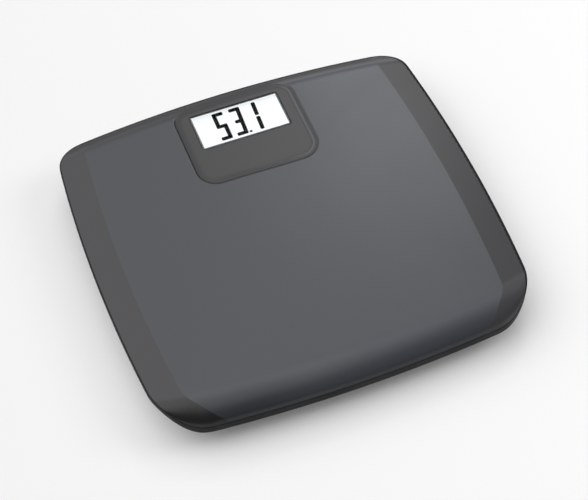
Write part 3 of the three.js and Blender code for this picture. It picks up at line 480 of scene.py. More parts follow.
class Tree:
    """The nodes of a material or of the world, with short ways to add and join them."""

    def __init__(self, owner):
        owner.use_nodes = True
        self.nodes, self.links = owner.node_tree.nodes, owner.node_tree.links

    def feed(self, node, inputs):
        """Sets a node's inputs to plain values, or joins them to the outputs of other nodes."""
        for socket, value in inputs.items():
            if isinstance(value, bpy.types.NodeSocket):
                self.links.new(value, node.inputs[socket])
            else:
                node.inputs[socket].default_value = value

    def add(self, kind, inputs=None, **settings):
        node = self.nodes.new("ShaderNode" + kind)
        for name, value in settings.items():
            setattr(node, name, value)
        self.feed(node, inputs or {})
        return node

    def noise(self, size, detail):
        """A noise whose grains are about the given size in millimetres."""
        coordinate = self.add("TexCoord").outputs["Object"]
        inputs = {"Vector": coordinate, "Scale": 1 / (size * MM), "Detail": detail}
        return self.add("TexNoise", inputs).outputs["Fac"]

    def spread(self, value, low, high):
        """A noise stretched to run from one value to another."""
        return self.ranged(value, NOISE_LOW, NOISE_HIGH, low, high)

    def ranged(self, value, from_low, from_high, low, high, **settings):
        inputs = {"Value": value, "From Min": from_low, "From Max": from_high, "To Min": low, "To Max": high}
        return self.add("MapRange", inputs, **settings).outputs["Result"]

    def mixed(self, factor, one, other, **settings):
        inputs = {MIX_FACTOR: factor, MIX_ONE: one, MIX_OTHER: other}
        return self.add("Mix", inputs, data_type="RGBA", **settings).outputs[MIX_RESULT]

    def tint(self, value, color, change):
        """A colour that varies a little round the given one."""
        darker, lighter = ((*[c * level for c in color], 1) for level in (1 - change, 1 + change))
        return self.mixed(value, darker, lighter)

    def maths(self, operation, first, second):
        return self.add("Math", {0: first, 1: second}, operation=operation).outputs[0]

    def seen(self):
        """One for camera, glossy and transmitted rays, and nothing for scattered light."""
        path = self.add("LightPath").outputs
        seen = self.maths("MAXIMUM", path["Is Camera Ray"], path["Is Glossy Ray"])
        return self.maths("MAXIMUM", seen, path["Is Transmission Ray"])

    def mixed_shader(self, factor, one, other, output):
        """Shows one shader or the other by the factor."""
        mixer = self.add("MixShader", {0: factor, 1: one.outputs[0], 2: other.outputs[0]})
        self.feed(self.nodes[output], {"Surface": mixer.outputs[0]})


def new_material(name):
    material = bpy.data.materials.new(name)
    tree = Tree(material)
    return material, tree, tree.nodes["Principled BSDF"]


def finish(name, color, roughness, grain=0.5, relief=0.02, change=0.06, rough_change=0.05, metallic=0.0,
           patch=18.0, specular=0.5, coat=0.0, toned=False):
    """Moulded plastic, rubber or metal: fine grain in relief, and slow changes of colour and sheen."""
    material, tree, shader = new_material(name)
    slow = tree.noise(patch, SLOW_DETAIL)
    tinted = tree.tint(slow, color, change)
    # With toned, the colour is multiplied by the mesh's tone, which holds painted light and shade
    if toned:
        tone = tree.add("Attribute", attribute_name="tone")
        tinted = tree.mixed(1, tinted, tone.outputs["Color"], blend_type="MULTIPLY")
    fine = tree.noise(grain, FINE_DETAIL)
    bump = tree.add("Bump", {"Height": fine, "Strength": 1, "Distance": relief * MM})
    tree.feed(shader, {
        "Base Color": tinted,
        "Roughness": tree.spread(slow, roughness - rough_change, roughness + rough_change),
        "Metallic": metallic,
        "Specular IOR Level": specular,
        "Coat Weight": coat,
        "Coat Roughness": COAT_ROUGHNESS,
        "Normal": bump.outputs["Normal"],
    })
    return material


def clear_plastic(name):
    material, tree, shader = new_material(name)
    slow = tree.noise(WINDOW_PATCH, FINE_DETAIL)
    tree.feed(shader, {
        "Base Color": WHITE,
        "IOR": WINDOW_IOR,
        "Transmission Weight": 1,
        "Roughness": tree.spread(slow, *WINDOW_ROUGHNESS),
    })
    return material


def lit_panel(name, color, glow):
    """The display's white reflector, lit evenly from behind. Its glow stands for the backlight, and is set
    strong enough to wash out the shade on the panel as well, so it is partly painted light.
    """
    material, tree, shader = new_material(name)
    slow = tree.noise(PANEL_PATCH, FINE_DETAIL)
    tree.feed(shader, {
        "Base Color": tree.tint(slow, [c * PANEL_UNLIT for c in color], PANEL_CHANGE),
        "Roughness": PANEL_ROUGHNESS,
        "Emission Color": (*color, 1),
        "Emission Strength": glow,
    })
    return material


EVEN = {"change": 0.008, "rough_change": 0.01, "patch": 60, "toned": True}
SATIN = {"grain": 0.45, "relief": 0.004, "specular": 0.36, **EVEN}
MATT = {"grain": 0.3, "relief": 0.003, "specular": 0.515, **EVEN}
# Black for the window's print, and for the cover's dark edge finish, which is painted shade
INK_AND_EDGE_SHADE = (0.012, 0.012, 0.013)

materials = {
    "cover": finish("cover_satin", (0.0597, 0.0644, 0.0741), 0.25, **SATIN),
    "trim": finish("cover_trim", (0.0477, 0.0477, 0.0510), 0.25, **SATIN),
    "pod": finish("cover_pod", (0.0433, 0.0433, 0.0460), 0.40, **MATT),
    # Painted shade: the dark finish along the cover's outline and round the window
    "line": finish("cover_edge_shade", INK_AND_EDGE_SHADE, 0.5, grain=0.4, relief=0.003, change=0.05, specular=0.15),
    "tray": finish("tray_black", (0.028, 0.028, 0.029), 0.55, relief=0.03, change=0.03, rough_change=0.02),
    "lens": clear_plastic("lens_clear"),
    "print": finish("lens_border", INK_AND_EDGE_SHADE, 0.35, grain=0.2, relief=0.002, change=0.05),
    "lcd": lit_panel("lcd_white", (0.90, 0.94, 0.955), 0.9),
    "segment": finish("lcd_segment", (0.003, 0.003, 0.003), 0.5, grain=0.3, relief=0.002, change=0.08,
                      specular=0.05),
    "backlight": finish("light_guide", (0.85, 0.86, 0.86), 0.4, grain=0.6, relief=0.01, change=0.02),
    "strip": finish("connector_rubber", (0.45, 0.2, 0.24), 0.7, grain=0.3, relief=0.03),
    "frame": finish("frame_white", (0.68, 0.68, 0.66), 0.5, grain=0.4, change=0.03),
    "board": finish("board_green", (0.02, 0.16, 0.06), 0.35, grain=0.3, relief=0.01, change=0.15, coat=0.4),
    "button": finish("button_grey", (0.05, 0.05, 0.052), 0.45, grain=0.4),
    "switch": finish("switch_black", (0.02, 0.02, 0.02), 0.4, grain=0.3, relief=0.01),
    "lead": finish("lead_insulation", (0.32, 0.32, 0.33), 0.5, grain=0.3, relief=0.01),
    "cup": finish("cup_grey", (0.036, 0.036, 0.038), 0.5, relief=0.025),
    "rubber": finish("rubber_black", (0.02, 0.02, 0.02), 0.85, grain=0.35, relief=0.04, change=0.15),
    "steel": finish("steel_stamped", (0.56, 0.57, 0.58), 0.32, grain=0.3, relief=0.006, metallic=1),
    "zinc": finish("zinc_plate", (0.6, 0.6, 0.61), 0.3, grain=0.25, relief=0.004, metallic=1),
    "nickel": finish("nickel_plate", (0.66, 0.63, 0.58), 0.22, grain=0.25, relief=0.003, metallic=1),
    "battery": finish("cell_wrap", (0.03, 0.12, 0.26), 0.3, grain=0.3, relief=0.003, coat=0.3),
}

SLOT_OF = {part["node"]: part["material_slot"] for part in frame["record"]["subparts"]}
for name, node in nodes.items():
    node.data.materials.clear()
    node.data.materials.append(materials[SLOT_OF[name]])


# Platform cover: finishes, and tones of painted light and shade. A LIFT, SHINE or HIGHLIGHT is painted light
# on a finish, a SHADE is painted shade, and a TONE is either.
# WALL takes the display's glowing white: painted light on the walls of the window's opening
COVER_FINISHES = ("cover", "trim", "pod", "line", "lcd")
MIDDLE, BAND, POD, LINE, WALL = range(len(COVER_FINISHES))
# Widths of the dark edge finish, painted shade round the window, along the back edge and along the sides
WINDOW_LINE = 1.1
BACK_LINE = 2.2
SIDE_LINE_LEFT, SIDE_LINE_RIGHT = 1.2, 2.2
# Painted shade in the pod's groove, and a painted highlight along its inner edge at the right
GROOVE_SHADE_LEFT, GROOVE_SHADE_RIGHT = 0.66, 0.5
GROOVE_SHADE_FRONT = 0.5
GROOVE_SHADE_IN_LEFT, GROOVE_SHADE_IN_RIGHT = 6.5, 1.9
GROOVE_SHADE_OUT = 3.0
GROOVE_SHADE_FULL = 1.3
GROOVE_SHINE = 1.6
GROOVE_SHINE_RAMP = (20.0, 30.0)
GROOVE_SHINE_PLACE, GROOVE_SHINE_REACH = -2.3, 0.8
# Painted shade on the pod, darker towards its left side
POD_TONE_LEFT = 0.82
POD_TONE_RAMP = (-50.0, 90.0)
# Painted shade past the fold at the left front corner, painted light at the right one, and a painted
# highlight along the right fold
CORNER_TONE_LEFT, CORNER_TONE_RIGHT = 0.62, 1.3
CORNER_TONE_RAMP = (-2.0, 3.0)
FOLD_HIGHLIGHT = 0.4
FOLD_HIGHLIGHT_PLACE, FOLD_HIGHLIGHT_REACH = -3.0, 2.5
# Painted light along the back roll and, at the right, along the back strip's front border
BACK_LIFT_POD, BACK_LIFT_LEFT, BACK_LIFT_RIGHT = 0.35, 0.75, 1.6
BACK_LIFT_RAMP = (-50.0, 100.0)
BACK_LIFT_PLACE, BACK_LIFT_REACH = 8.5, 3.2
STRIP_LIFT = 0.6
STRIP_LIFT_RAMP = (20.0, 60.0)
STRIP_LIFT_PLACE = 12.0
# Painted shade along the back edge
BACK_SHADE, BACK_SHADE_REACH = 0.5, 4.5
# A painted highlight across the front roll
ROLL_LIFT = 0.24
ROLL_LIFT_PLACE, ROLL_LIFT_REACH = 20.5, 4.5
# Painted shade at the bottom of the front roll
ROLL_SHADE, ROLL_SHADE_REACH = 0.5, 3.8
# Painted shade on the left part of the front roll
LEFT_SHADE = 0.28
LEFT_SHADE_RAMP = (30.0, 60.0)
LEFT_SHADE_REACH = 12.0


def cover_slot(x, y):
    """Which finish a place on the top has. The LINE finish is painted shade along the edges and round the
    window.
    """
    _, front, back, edge, _ = distances(x, y)
    side_line = (SIDE_LINE_LEFT if x < 0 else SIDE_LINE_RIGHT) * smoothstep(front / FRONT_CORNER)
    if window_distance(x, y) < WINDOW_LINE or back < BACK_LINE or edge < side_line:
        return LINE
    behind_pod = y > POD_BACK - POD_BACK_RADIUS and abs(x) < POD_HALF_WIDTH - POD_BACK_RADIUS
    if pod_distance(x, y) < 0 or behind_pod:
        return POD
    middle, band = sheets(x, y)
    return BAND if band < middle - LEVEL_MARGIN or back < BACK_STRIP else MIDDLE


def groove_tone(x, y):
    """Painted shade in the groove, with a painted highlight along its inner edge at the right."""
    away = groove_distance(x, y)
    to_right = ramp(x, *GROOVE_SIDE_RAMP)
    inside = mix(GROOVE_SHADE_IN_LEFT, GROOVE_SHADE_IN_RIGHT, to_right)
    reach = inside if away < 0 else GROOVE_SHADE_OUT
    shade = mix(GROOVE_SHADE_LEFT, GROOVE_SHADE_RIGHT, to_right)
    shade *= mix(GROOVE_SHADE_FRONT, 1, ramp(y, POD_FRONT, POD_FRONT_RADIUS))
    shade *= smoothstep(GROOVE_SHADE_FULL * (1 - abs(away) / reach))
    shine = GROOVE_SHINE * ramp(x, *GROOVE_SHINE_RAMP) * peak(away, GROOVE_SHINE_PLACE, GROOVE_SHINE_REACH)
    return 1 + (shine - shade) * groove_strength(y)


def corner_tone(x, y):
    """Past the fold, painted shade at the left corner and painted light at the right one, with a painted
    highlight along the fold there.
    """
    past = past_fold(x, y)
    tone = mix(1, CORNER_TONE_LEFT if x < 0 else CORNER_TONE_RIGHT, ramp(past, *CORNER_TONE_RAMP))
    if x >= 0:
        tone += FOLD_HIGHLIGHT * peak(past, FOLD_HIGHLIGHT_PLACE, FOLD_HIGHLIGHT_REACH)
    return tone


def back_tone(x, back, slot):
    """Painted light along the back roll, and at the right also along the strip's front border."""
    lifts = {POD: BACK_LIFT_POD, BAND: mix(BACK_LIFT_LEFT, BACK_LIFT_RIGHT, ramp(x, *BACK_LIFT_RAMP))}
    tone = 1 + lifts.get(slot, 0) * peak(back, BACK_LIFT_PLACE, BACK_LIFT_REACH)
    if slot != POD:
        tone *= 1 + STRIP_LIFT * ramp(x, *STRIP_LIFT_RAMP) * peak(back, STRIP_LIFT_PLACE, BACK_LIFT_REACH)
    return tone


def cover_tone(x, y, slot):
    """The painted light and shade at a place on the top, as a factor on the finish's colour."""
    _, front, back, *_ = distances(x, y)
    tone = groove_tone(x, y)
    tone *= corner_tone(x, y) if slot == BAND and y < 0 else back_tone(x, back, slot)
    if slot == POD:
        tone *= mix(POD_TONE_LEFT, 1, ramp(x, *POD_TONE_RAMP))
    if slot == MIDDLE:
        tone *= 1 + ROLL_LIFT * peak(front, ROLL_LIFT_PLACE, ROLL_LIFT_REACH)
    tone *= 1 - BACK_SHADE * smoothstep(1 - back / BACK_SHADE_REACH)
    tone *= 1 - LEFT_SHADE * ramp(-x, *LEFT_SHADE_RAMP) * smoothstep((FRONT_ROLL - front) / LEFT_SHADE_REACH)
    return tone * (1 - ROLL_SHADE * smoothstep(1 - front / ROLL_SHADE_REACH))


# Platform cover: shape
def cover_lines():
    """The rolls, the creases, the corner folds, the pod's groove and the window."""
    lines = Lines()
    columns = outline_columns()
    for share in ROW_SHARES:
        lines.add([place(column, inset_at(share)) for column in columns])
    for mirror in (1, -1):
        crossings = [crease_point(column) for column in columns if column[2] == mirror]
        for line in ([p for p in crossings if p], *fold_lines(mirror)):
            lines.add(line, closed=False)
    inner, outer = -GROOVE_INSIDE - GROOVE_SHIFT_LEFT, GROOVE_OUTSIDE - GROOVE_SHIFT_RIGHT
    for k in range(GROOVE_ROWS + 1):
        lines.add(pod_loop(mix(inner, outer, k / GROOVE_ROWS)))
    for offset in [WINDOW_EDGE * share for share in quarter_shares(EDGE_STEPS)] + [WINDOW_LINE]:
        lines.add(window_loop(offset))
    return lines


def cover_surface(skin):
    """The top, meshed along its lines."""
    corners, triangles = cover_lines().triangulated()
    for triangle in triangles:
        flat = [corners[i] for i in triangle]
        middle = sum(flat, Vector((0, 0))) / 3
        if window_distance(*middle) < 0 or distances(*middle)[3] < RIM_EDGE / 2:
            continue
        if (flat[1] - flat[0]).cross(flat[2] - flat[0]) < 0:
            flat.reverse()
        pulled = []
        for point in flat:
            length = max((middle - point).length, LEAST_LENGTH)
            pulled.append(point.lerp(middle, min(PULL_LIMIT, PULL_IN / length)))
        slot = cover_slot(*middle)
        points = [(p.x, p.y, surface(p.x, p.y)) for p in flat]
        skin.face(points, [surface_normal(*p) for p in pulled], slot, [cover_tone(*p, slot) for p in pulled])


def cover_rim(skin):
    """The rounded edge, the lip below it and the wall's inner face behind the lip, all in the dark edge
    finish, which is painted shade.
    """
    columns = outline_columns()
    edge, outline, inside = (
        [place(column, inset_at(0, inset)) for column in columns] for inset in (RIM_EDGE, 0.0, COVER_WALL)
    )
    outward = loop_normals(outline)
    rows, normals = [], []
    for k in range(EDGE_STEPS + 1):
        turn = k / EDGE_STEPS * math.pi / 2
        out, drop = RIM_EDGE * math.sin(turn), RIM_EDGE * (1 - math.cos(turn))
        row, row_normals = [], []
        for (x, y), away in zip(edge, outward):
            row.append((x + away.x * out, y + away.y * out, surface(x, y) - drop))
            normal = surface_normal(x, y) * math.cos(turn) + away * math.sin(turn)
            row_normals.append(normal.normalized())
        rows.append(row)
        normals.append(row_normals)
    skin.strip(rows[::-1], normals[::-1], LINE)
    heights = [min(sheets(*p)) for p in outline]
    bottom = [(x, y, height - RIM_LIP) for (x, y, _), height in zip(rows[-1], heights)]
    inner = [(x, y, height - RIM_LIP) for (x, y), height in zip(inside, heights)]
    inner_top = [(x, y, height - COVER_WALL) for (x, y), height in zip(inside, heights)]
    down = [Vector((0, 0, -1))] * len(columns)
    inward = [-n for n in outward]
    skin.strip([bottom, rows[-1]], [outward, outward], LINE)
    skin.strip([inner, bottom], [down, down], LINE)
    skin.strip([inner_top, inner], [inward, inward], LINE)


def cover_window(skin):
    """The walls of the window's opening, in the display's glowing white: painted light where the opening lies
    in shade.
    """
    loop = window_loop(0)
    inward = [-n for n in loop_normals(loop)]
    upper = [(x, y, surface(x, y)) for x, y in loop]
    lower = [(x, y, HEIGHT - COVER_WALL) for x, y in loop]
    skin.strip([upper, lower], [inward, inward], WALL)


def platform_cover():
    skin = Skin()
    cover_surface(skin)
    cover_rim(skin)
    cover_window(skin)
    piece = skin.build("platform_cover_skin", COVER_FINISHES)
    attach(piece, "platform")
    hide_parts("platform_cover")


platform_cover()


# Building of the other pieces
def vertex(mesh, x, y, z):
    return mesh.verts.new((x * MM, y * MM, z * MM))


def join_rings(mesh, one, other):
    """Joins two closed rings of equally many vertices with four-sided faces."""
    for i in range(len(one)):
        j = (i + 1) % len(one)
        mesh.faces.new([one[i], one[j], other[j], other[i]])


def add_piece(name, mesh, body, finishes):
    data = bpy.data.meshes.new(name)
    mesh.to_mesh(data)
    mesh.free()
    for finish_name in finishes:
        data.materials.append(materials[finish_name])
    piece = new_object(name, data)
    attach(piece, body)
    return piece


# Display: numerals on the glass, and a printed border on the window
STROKE = 3.5
STROKE_GAP = 1.3
DIGIT_HEIGHT = 29.6
DIGIT_WIDTH = 9.5
SHORT_STROKE_START = 2.0  # of the 3's middle stroke
DIGITS = (("5", -21.0, 1), ("3", -7.2, 3), ("1", 6.9, 3))  # left edge and slant in degrees
DIGIT_BASE = 98.4
POINT_START, POINT_WIDTH, POINT_HEIGHT = 3.3, 2.5, 2.2
STROKE_CUT = POINT_HEIGHT / 3
SEEN_SHIFT = (0.96, 2.45)  # against the shift that looking through the thick window gives
NUMERAL_LOW, NUMERAL_HIGH = 0.02, 0.06  # above the glass
BORDER = 0.7
BORDER_LOW, BORDER_HIGH = 0.01, 0.04  # above the window
FIT_GAP = 0.12


def numeral_outlines(numeral):
    """Outlines of a numeral's joined strokes, from its lower left corner."""
    width, height, t = DIGIT_WIDTH, DIGIT_HEIGHT, STROKE
    low, high, inner = (height - t) / 2, (height + t) / 2, width - t
    if numeral == "5":
        return [[(0, height), (0, low), (inner, low), (inner, t), (0, t), (0, 0), (width, 0), (width, high),
                 (t, high), (t, height - t), (width, height - t), (width, height)]]
    if numeral == "3":
        bar = SHORT_STROKE_START
        return [[(0, height), (0, height - t), (inner, height - t), (inner, high), (bar, high), (bar, low),
                 (inner, low), (inner, t), (0, t), (0, 0), (width, 0), (width, height)]]
    low, high = (height - STROKE_GAP) / 2, (height + STROKE_GAP) / 2
    return [[(inner, 0), (width, 0), (width, low), (inner, low)],
            [(inner, high), (width, high), (width, height), (inner, height)]]


def cut_corners(outline):
    """The same outline, which runs anticlockwise, with its outer corners cut off."""
    points = []
    for k, corner in enumerate(outline):
        following = outline[(k + 1) % len(outline)]
        before, corner, after = Vector(outline[k - 1]), Vector(corner), Vector(following)
        if (corner - before).cross(after - corner) > 0:
            points.append(corner + (before - corner).normalized() * STROKE_CUT)
            points.append(corner + (after - corner).normalized() * STROKE_CUT)
        else:
            points.append(corner)
    return points


def plate(mesh, outline, low, high):
    """Adds a flat plate with the given outline."""
    lower = [vertex(mesh, x, y, low) for x, y in outline]
    upper = [vertex(mesh, x, y, high) for x, y in outline]
    mesh.faces.new(upper)
    mesh.faces.new(lower[::-1])
    join_rings(mesh, lower, upper)


def display_piece(name, mesh, finish_name):
    bmesh.ops.recalc_face_normals(mesh, faces=mesh.faces)
    add_piece(name, mesh, "platform", [finish_name])


def display_numerals():
    glass_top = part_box("lcd_panel")[1].z / MM
    mesh = bmesh.new()
    point = [(0, 0), (POINT_WIDTH, 0), (POINT_WIDTH, POINT_HEIGHT), (0, POINT_HEIGHT)]
    strokes = []
    for numeral, left, slant in DIGITS:
        strokes += [(left, slant, outline) for outline in numeral_outlines(numeral)]
    strokes.append((POINT_START, 0, point))
    for left, slant, outline in strokes:
        lean = math.tan(math.radians(slant))
        placed = [
            (left + x + y * lean + SEEN_SHIFT[0], y + DIGIT_BASE + SEEN_SHIFT[1])
            for x, y in cut_corners(outline)
        ]
        plate(mesh, placed, glass_top + NUMERAL_LOW, glass_top + NUMERAL_HIGH)
    display_piece("lcd_numerals", mesh, "segment")


def window_border():
    lens_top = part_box("display_lens")[1].z / MM
    mesh = bmesh.new()
    outer, inner = -FIT_GAP, -FIT_GAP - BORDER
    section = ((outer, BORDER_LOW), (outer, BORDER_HIGH), (inner, BORDER_HIGH), (inner, BORDER_LOW))
    rings = []
    for offset, z in section:
        rings.append([vertex(mesh, x, y, lens_top + z) for x, y in window_loop(offset, BORDER_STEPS)])
    for one, other in zip(rings, rings[1:] + rings[:1]):
        join_rings(mesh, one, other)
    display_piece("lens_border", mesh, "print")


display_numerals()
window_border()


# Underside and inside: the other nodes with joined faces and rounded edges, and their fine forms
BODY_OF = {name: body for body, names in frame["record"]["behaviour"]["bodies"].items() for name in names}
SHARP_ANGLE = math.radians(32)
JOIN_DISTANCE = 0.002
FLAT_ANGLE = math.radians(0.4)
ROUNDING_STEPS = 2
TURNED_STEPS = 64


def show_piece(name, mesh, node, rounding=0.0, extra=()):
    """Makes the piece that stands for a node: smooth, sharp only at its real edges, and rounded there."""
    piece = add_piece(name, mesh, BODY_OF[node], (SLOT_OF[node], *extra))
    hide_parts(node)
    piece.data.shade_smooth()
    piece.data.set_sharp_from_angle(angle=SHARP_ANGLE)
    if rounding:
        bevel = piece.modifiers.new("rounded_edges", "BEVEL")
        bevel.width = rounding * MM
        bevel.segments = ROUNDING_STEPS
        bevel.limit_method = "ANGLE"
        bevel.angle_limit = SHARP_ANGLE
        bevel.harden_normals = True


def joined(node):
    """A node's mesh with its triangles joined into whole faces."""
    mesh = bmesh.new()
    mesh.from_mesh(nodes[node].data)
    bmesh.ops.remove_doubles(mesh, verts=mesh.verts, dist=JOIN_DISTANCE * MM)
    bmesh.ops.dissolve_limit(mesh, angle_limit=FLAT_ANGLE, verts=mesh.verts, edges=mesh.edges)
    return mesh


def turned(profile, centre, steps=TURNED_STEPS):
    """A closed solid of revolution about an upright axis, from (radius, height) points."""
    mesh = bmesh.new()
    rings = []
    for radius, z in profile:
        ring = []
        for k in range(steps if radius > 0 else 1):
            angle = 2 * math.pi * k / steps
            x, y = centre[0] + radius * math.cos(angle), centre[1] + radius * math.sin(angle)
            ring.append(vertex(mesh, x, y, z))
        rings.append(ring)
    for one, other in zip(rings, rings[1:]):
        for k in range(steps):
            j = (k + 1) % steps
            corners = [one[k % len(one)], one[j % len(one)], other[j % len(other)], other[k % len(other)]]
            corners = [v for i, v in enumerate(corners) if v not in corners[:i]]
            if len(corners) > 2:
                mesh.faces.new(corners)
    return mesh


def centre_of(node):
    low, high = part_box(node)
    return (low.x + high.x) / 2 / MM, (low.y + high.y) / 2 / MM


# Foot pads: soft lands and grooves in rings, which grip the floor
PAD_LANDS = ((0.0, 3.2), (4.6, 7.4), (8.8, 11.4), (12.8, 15.2))
PAD_RIM = 16.6
PAD_GROOVE = 0.8
PAD_ROUND = 0.35
PAD_EDGE = ((0.9, 0), (0.25, 0.3), (0, 0.95))  # in from the side, and height


def foot_pad(node):
    low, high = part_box(node)
    radius, top = (high.x - low.x) / 2 / MM, high.z / MM
    profile = [(0, 0)]
    for start, end in PAD_LANDS:
        if start > 0:
            profile += [(start - PAD_ROUND, PAD_GROOVE), (start, PAD_ROUND), (start + PAD_ROUND, 0)]
        profile += [(end - PAD_ROUND, 0), (end, PAD_ROUND), (end + PAD_ROUND, PAD_GROOVE)]
    profile += [(PAD_RIM - PAD_ROUND, PAD_GROOVE), (PAD_RIM, PAD_ROUND), (PAD_RIM + PAD_ROUND, 0)]
    profile += [(radius - inset, z) for inset, z in PAD_EDGE]
    profile += [(radius, top), (0, top)]
    mesh = turned(profile, centre_of(node))
    bmesh.ops.recalc_face_normals(mesh, faces=mesh.faces)
    show_piece(node + "_ringed", mesh, node)


# Case screws: a rounded head with a cross recess, and a threaded shank
SCREW_HEAD = 3.3
SCREW_HEAD_HEIGHT = 1.8
SCREW_DOME = ((1.0, 0), (0.45, 0.15), (0.12, 0.5), (0, 0.9))  # in from the head's side, and height
SCREW_SHANK = 1.45
SCREW_ROOT = 1.15
SCREW_PITCH = 1.1
SCREW_STEPS = 32
THREAD_START, THREAD_END = 0.5, 2.0
THREAD_ROOT_SHARE, THREAD_CREST_SHARE = 0.4, 0.7
TIP_LENGTH, TIP_RADIUS = 1.2, 0.3
CROSS_REACH = 1.7
CROSS_HALF = 0.36
CROSS_DEPTH = 1.1


def cross_outline(centre):
    quarter = [(CROSS_REACH, -CROSS_HALF), (CROSS_REACH, CROSS_HALF), (CROSS_HALF, CROSS_HALF)]
    points = []
    for c, s in ((1, 0), (0, 1), (-1, 0), (0, -1)):
        points += [(centre[0] + x * c - y * s, centre[1] + x * s + y * c) for x, y in quarter]
    return points


def screw_profile(bottom, top):
    neck = bottom + SCREW_HEAD_HEIGHT
    profile = [(SCREW_HEAD - inset, bottom + z) for inset, z in SCREW_DOME]
    profile += [(SCREW_HEAD, neck), (SCREW_SHANK, neck)]
    for k in range(int((top - neck - THREAD_END) / SCREW_PITCH)):
        z = neck + THREAD_START + k * SCREW_PITCH
        profile += [
            (SCREW_ROOT, z),
            (SCREW_ROOT, z + SCREW_PITCH * THREAD_ROOT_SHARE),
            (SCREW_SHANK, z + SCREW_PITCH * THREAD_CREST_SHARE),
        ]
    return profile + [(SCREW_ROOT, top - TIP_LENGTH), (TIP_RADIUS, top), (0, top)]


def case_screw(node):
    low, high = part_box(node)
    bottom, centre = low.z / MM, centre_of(node)
    mesh = turned(screw_profile(bottom, high.z / MM), centre, SCREW_STEPS)
    rim = [v for v in mesh.verts if abs(v.co.z / MM - bottom) < LEVEL_MARGIN]
    cross = cross_outline(centre)
    lines = Lines()
    lines.add([(v.co.x / MM, v.co.y / MM) for v in rim])
    lines.add(cross)
    corners, triangles = lines.triangulated()
    upper = [vertex(mesh, x, y, bottom) for x, y in cross]
    deep = [vertex(mesh, x, y, bottom + CROSS_DEPTH) for x, y in cross]
    known = rim + upper
    for triangle in triangles:
        away = sum((corners[i] for i in triangle), Vector((0, 0))) / 3 - Vector(centre)
        across, along = sorted((abs(away.x), abs(away.y)))
        if along >= CROSS_REACH or across >= CROSS_HALF:
            mesh.faces.new([known[i] for i in triangle])
    join_rings(mesh, upper, deep)
    mesh.faces.new(deep)
    bmesh.ops.recalc_face_normals(mesh, faces=mesh.faces)
    show_piece(node + "_crossed", mesh, node)


# Batteries: a plain wrapper with bare metal ends
BATTERY_ROUNDING = 0.35
END_FACING = 0.9


def battery(node):
    mesh = joined(node)
    for face in mesh.faces:
        if abs(face.normal.x) > END_FACING:
            face.material_index = 1
    show_piece(node + "_ends", mesh, node, BATTERY_ROUNDING, ["nickel"])


# The rest, each with the rounding of its edges
ROUNDED = {
    "base_tray": 0.35,
    "battery_door": 0.25,
    "unit_button": 0.3,
    "lcd_frame": 0.3,
    "control_board": 0.0,
    "unit_switch": 0.2,
    "switch_board": 0.0,
    "backlight_panel": 0.3,
    "lcd_panel": 0.15,
    "connector_strip": 0.2,
}
for k in range(1, 5):
    ROUNDED["foot_cup_%d" % k] = 0.4
    ROUNDED["load_cell_%d" % k] = 0.12
    foot_pad("foot_pad_%d" % k)
for k in range(1, 9):
    case_screw("case_screw_%d" % k)
for k in (1, 2):
    battery("battery_%d" % k)
    ROUNDED["battery_contact_%d" % k] = 0.1
for node, rounding in ROUNDED.items():
    show_piece(node + "_fine", joined(node), node, rounding)


# Floor, light and camera. Places, lamp sizes and distances are in metres.
FLOOR_REACH = 6.0
FLOOR_SEEN = 0.95
FLOOR_BOUNCE = 0.25
FLOOR_ROUGHNESS = 0.8
FLOOR_LIFT = 0.11  # share of plain white in what the camera sees, which keeps the shadow soft
BACKDROP_RISE = 0.15
SKY_DARK, SKY_BRIGHT = 0.05, 1.94
SKY_EDGE = 0.483
SKY_HEADING, SKY_RISE = math.radians(-52.1), math.radians(63.65)
KEY = {"position": (0.8044, 1.3856, 1.7029), "size": 0.596, "power": 3.4}
FILL = {"position": (1.3819, -0.2415, 1.3289), "size": 1.124, "power": 8.2}
CAMERA_AZIMUTH, CAMERA_ELEVATION = math.radians(-21.48), math.radians(55.07)
CAMERA_DISTANCE = 1.3733
CAMERA_CLIP = 50
FOCAL_PX, FRAME_PX = 1692.6, 588
ASIDE_PX, DOWN_PX = -3.94, 0.86


def direction(heading, rise):
    """A unit vector, from its heading clockwise from the back and its rise."""
    return math.sin(heading) * math.cos(rise), math.cos(heading) * math.cos(rise), math.sin(rise)


def floor():
    mesh = bpy.data.meshes.new("floor")
    corners = [(x * FLOOR_REACH, y * FLOOR_REACH, 0) for x, y in ((-1, -1), (1, -1), (1, 1), (-1, 1))]
    mesh.from_pydata(corners, [], [(0, 1, 2, 3)])
    material, tree, shader = new_material("floor_white")
    seen = tree.seen()
    bounced, shown = ((level, level, level, 1) for level in (FLOOR_BOUNCE, FLOOR_SEEN))
    color = tree.mixed(seen, bounced, shown)
    tree.feed(shader, {"Base Color": color, "Roughness": FLOOR_ROUGHNESS, "Specular IOR Level": 0})
    lift = tree.maths("MULTIPLY", seen, FLOOR_LIFT)
    tree.mixed_shader(lift, shader, tree.add("Emission"), "Material Output")
    mesh.materials.append(material)
    new_object("floor", mesh)


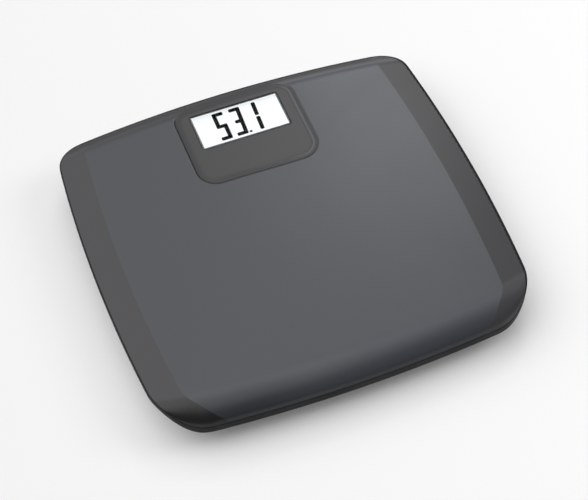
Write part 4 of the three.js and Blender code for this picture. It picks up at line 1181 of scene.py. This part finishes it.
def world():
    """A soft studio: one wide bright area above and behind, and a white backdrop low down all round."""
    studio = bpy.data.worlds.new("studio")
    bpy.context.scene.world = studio
    tree = Tree(studio)
    coordinate = tree.add("TexCoord").outputs["Generated"]
    inputs = {0: coordinate, 1: direction(SKY_HEADING, SKY_RISE)}
    facing = tree.add("VectorMath", inputs, operation="DOT_PRODUCT").outputs["Value"]
    bright = tree.ranged(facing, SKY_EDGE, 1, SKY_DARK, SKY_BRIGHT, interpolation_type="SMOOTHERSTEP")
    sky = tree.nodes["Background"]
    tree.feed(sky, {"Color": WHITE, "Strength": bright})
    height = tree.add("SeparateXYZ", {0: coordinate}).outputs["Z"]
    low = tree.maths("LESS_THAN", height, BACKDROP_RISE)
    backdrop = tree.add("Background", {"Color": WHITE})
    tree.mixed_shader(tree.maths("MULTIPLY", low, tree.seen()), sky, backdrop, "World Output")


def lamp(name, position, size, power, in_gloss=True):
    """A disk lamp aimed at the floor under the middle of the object."""
    data = bpy.data.lights.new(name, "AREA")
    data.shape = "DISK"
    data.size = size
    data.energy = power
    light = new_object(name, data)
    light.location = position
    light.rotation_euler = (-Vector(position)).to_track_quat("-Z", "Y").to_euler()
    light.visible_glossy = in_gloss


def camera():
    """The photograph's view: angles, distance and focal length worked out from the outline."""
    back = Vector(direction(math.pi - CAMERA_AZIMUTH, CAMERA_ELEVATION))
    right = Vector((math.cos(CAMERA_AZIMUTH), math.sin(CAMERA_AZIMUTH), 0))
    up = back.cross(right)
    data = bpy.data.cameras.new("camera")
    data.sensor_fit = "HORIZONTAL"
    data.lens = FOCAL_PX / FRAME_PX * data.sensor_width
    data.shift_x = -ASIDE_PX / FRAME_PX
    data.shift_y = DOWN_PX / FRAME_PX
    data.clip_end = CAMERA_CLIP
    view = new_object("camera", data)
    view.matrix_world = Matrix((right, up, back)).transposed().to_4x4()
    view.location = back * CAMERA_DISTANCE
    bpy.context.scene.camera = view


floor()
world()
lamp("key", **KEY)
lamp("fill", **FILL, in_gloss=False)
camera()
bpy.context.scene.view_settings.view_transform = "Standard"
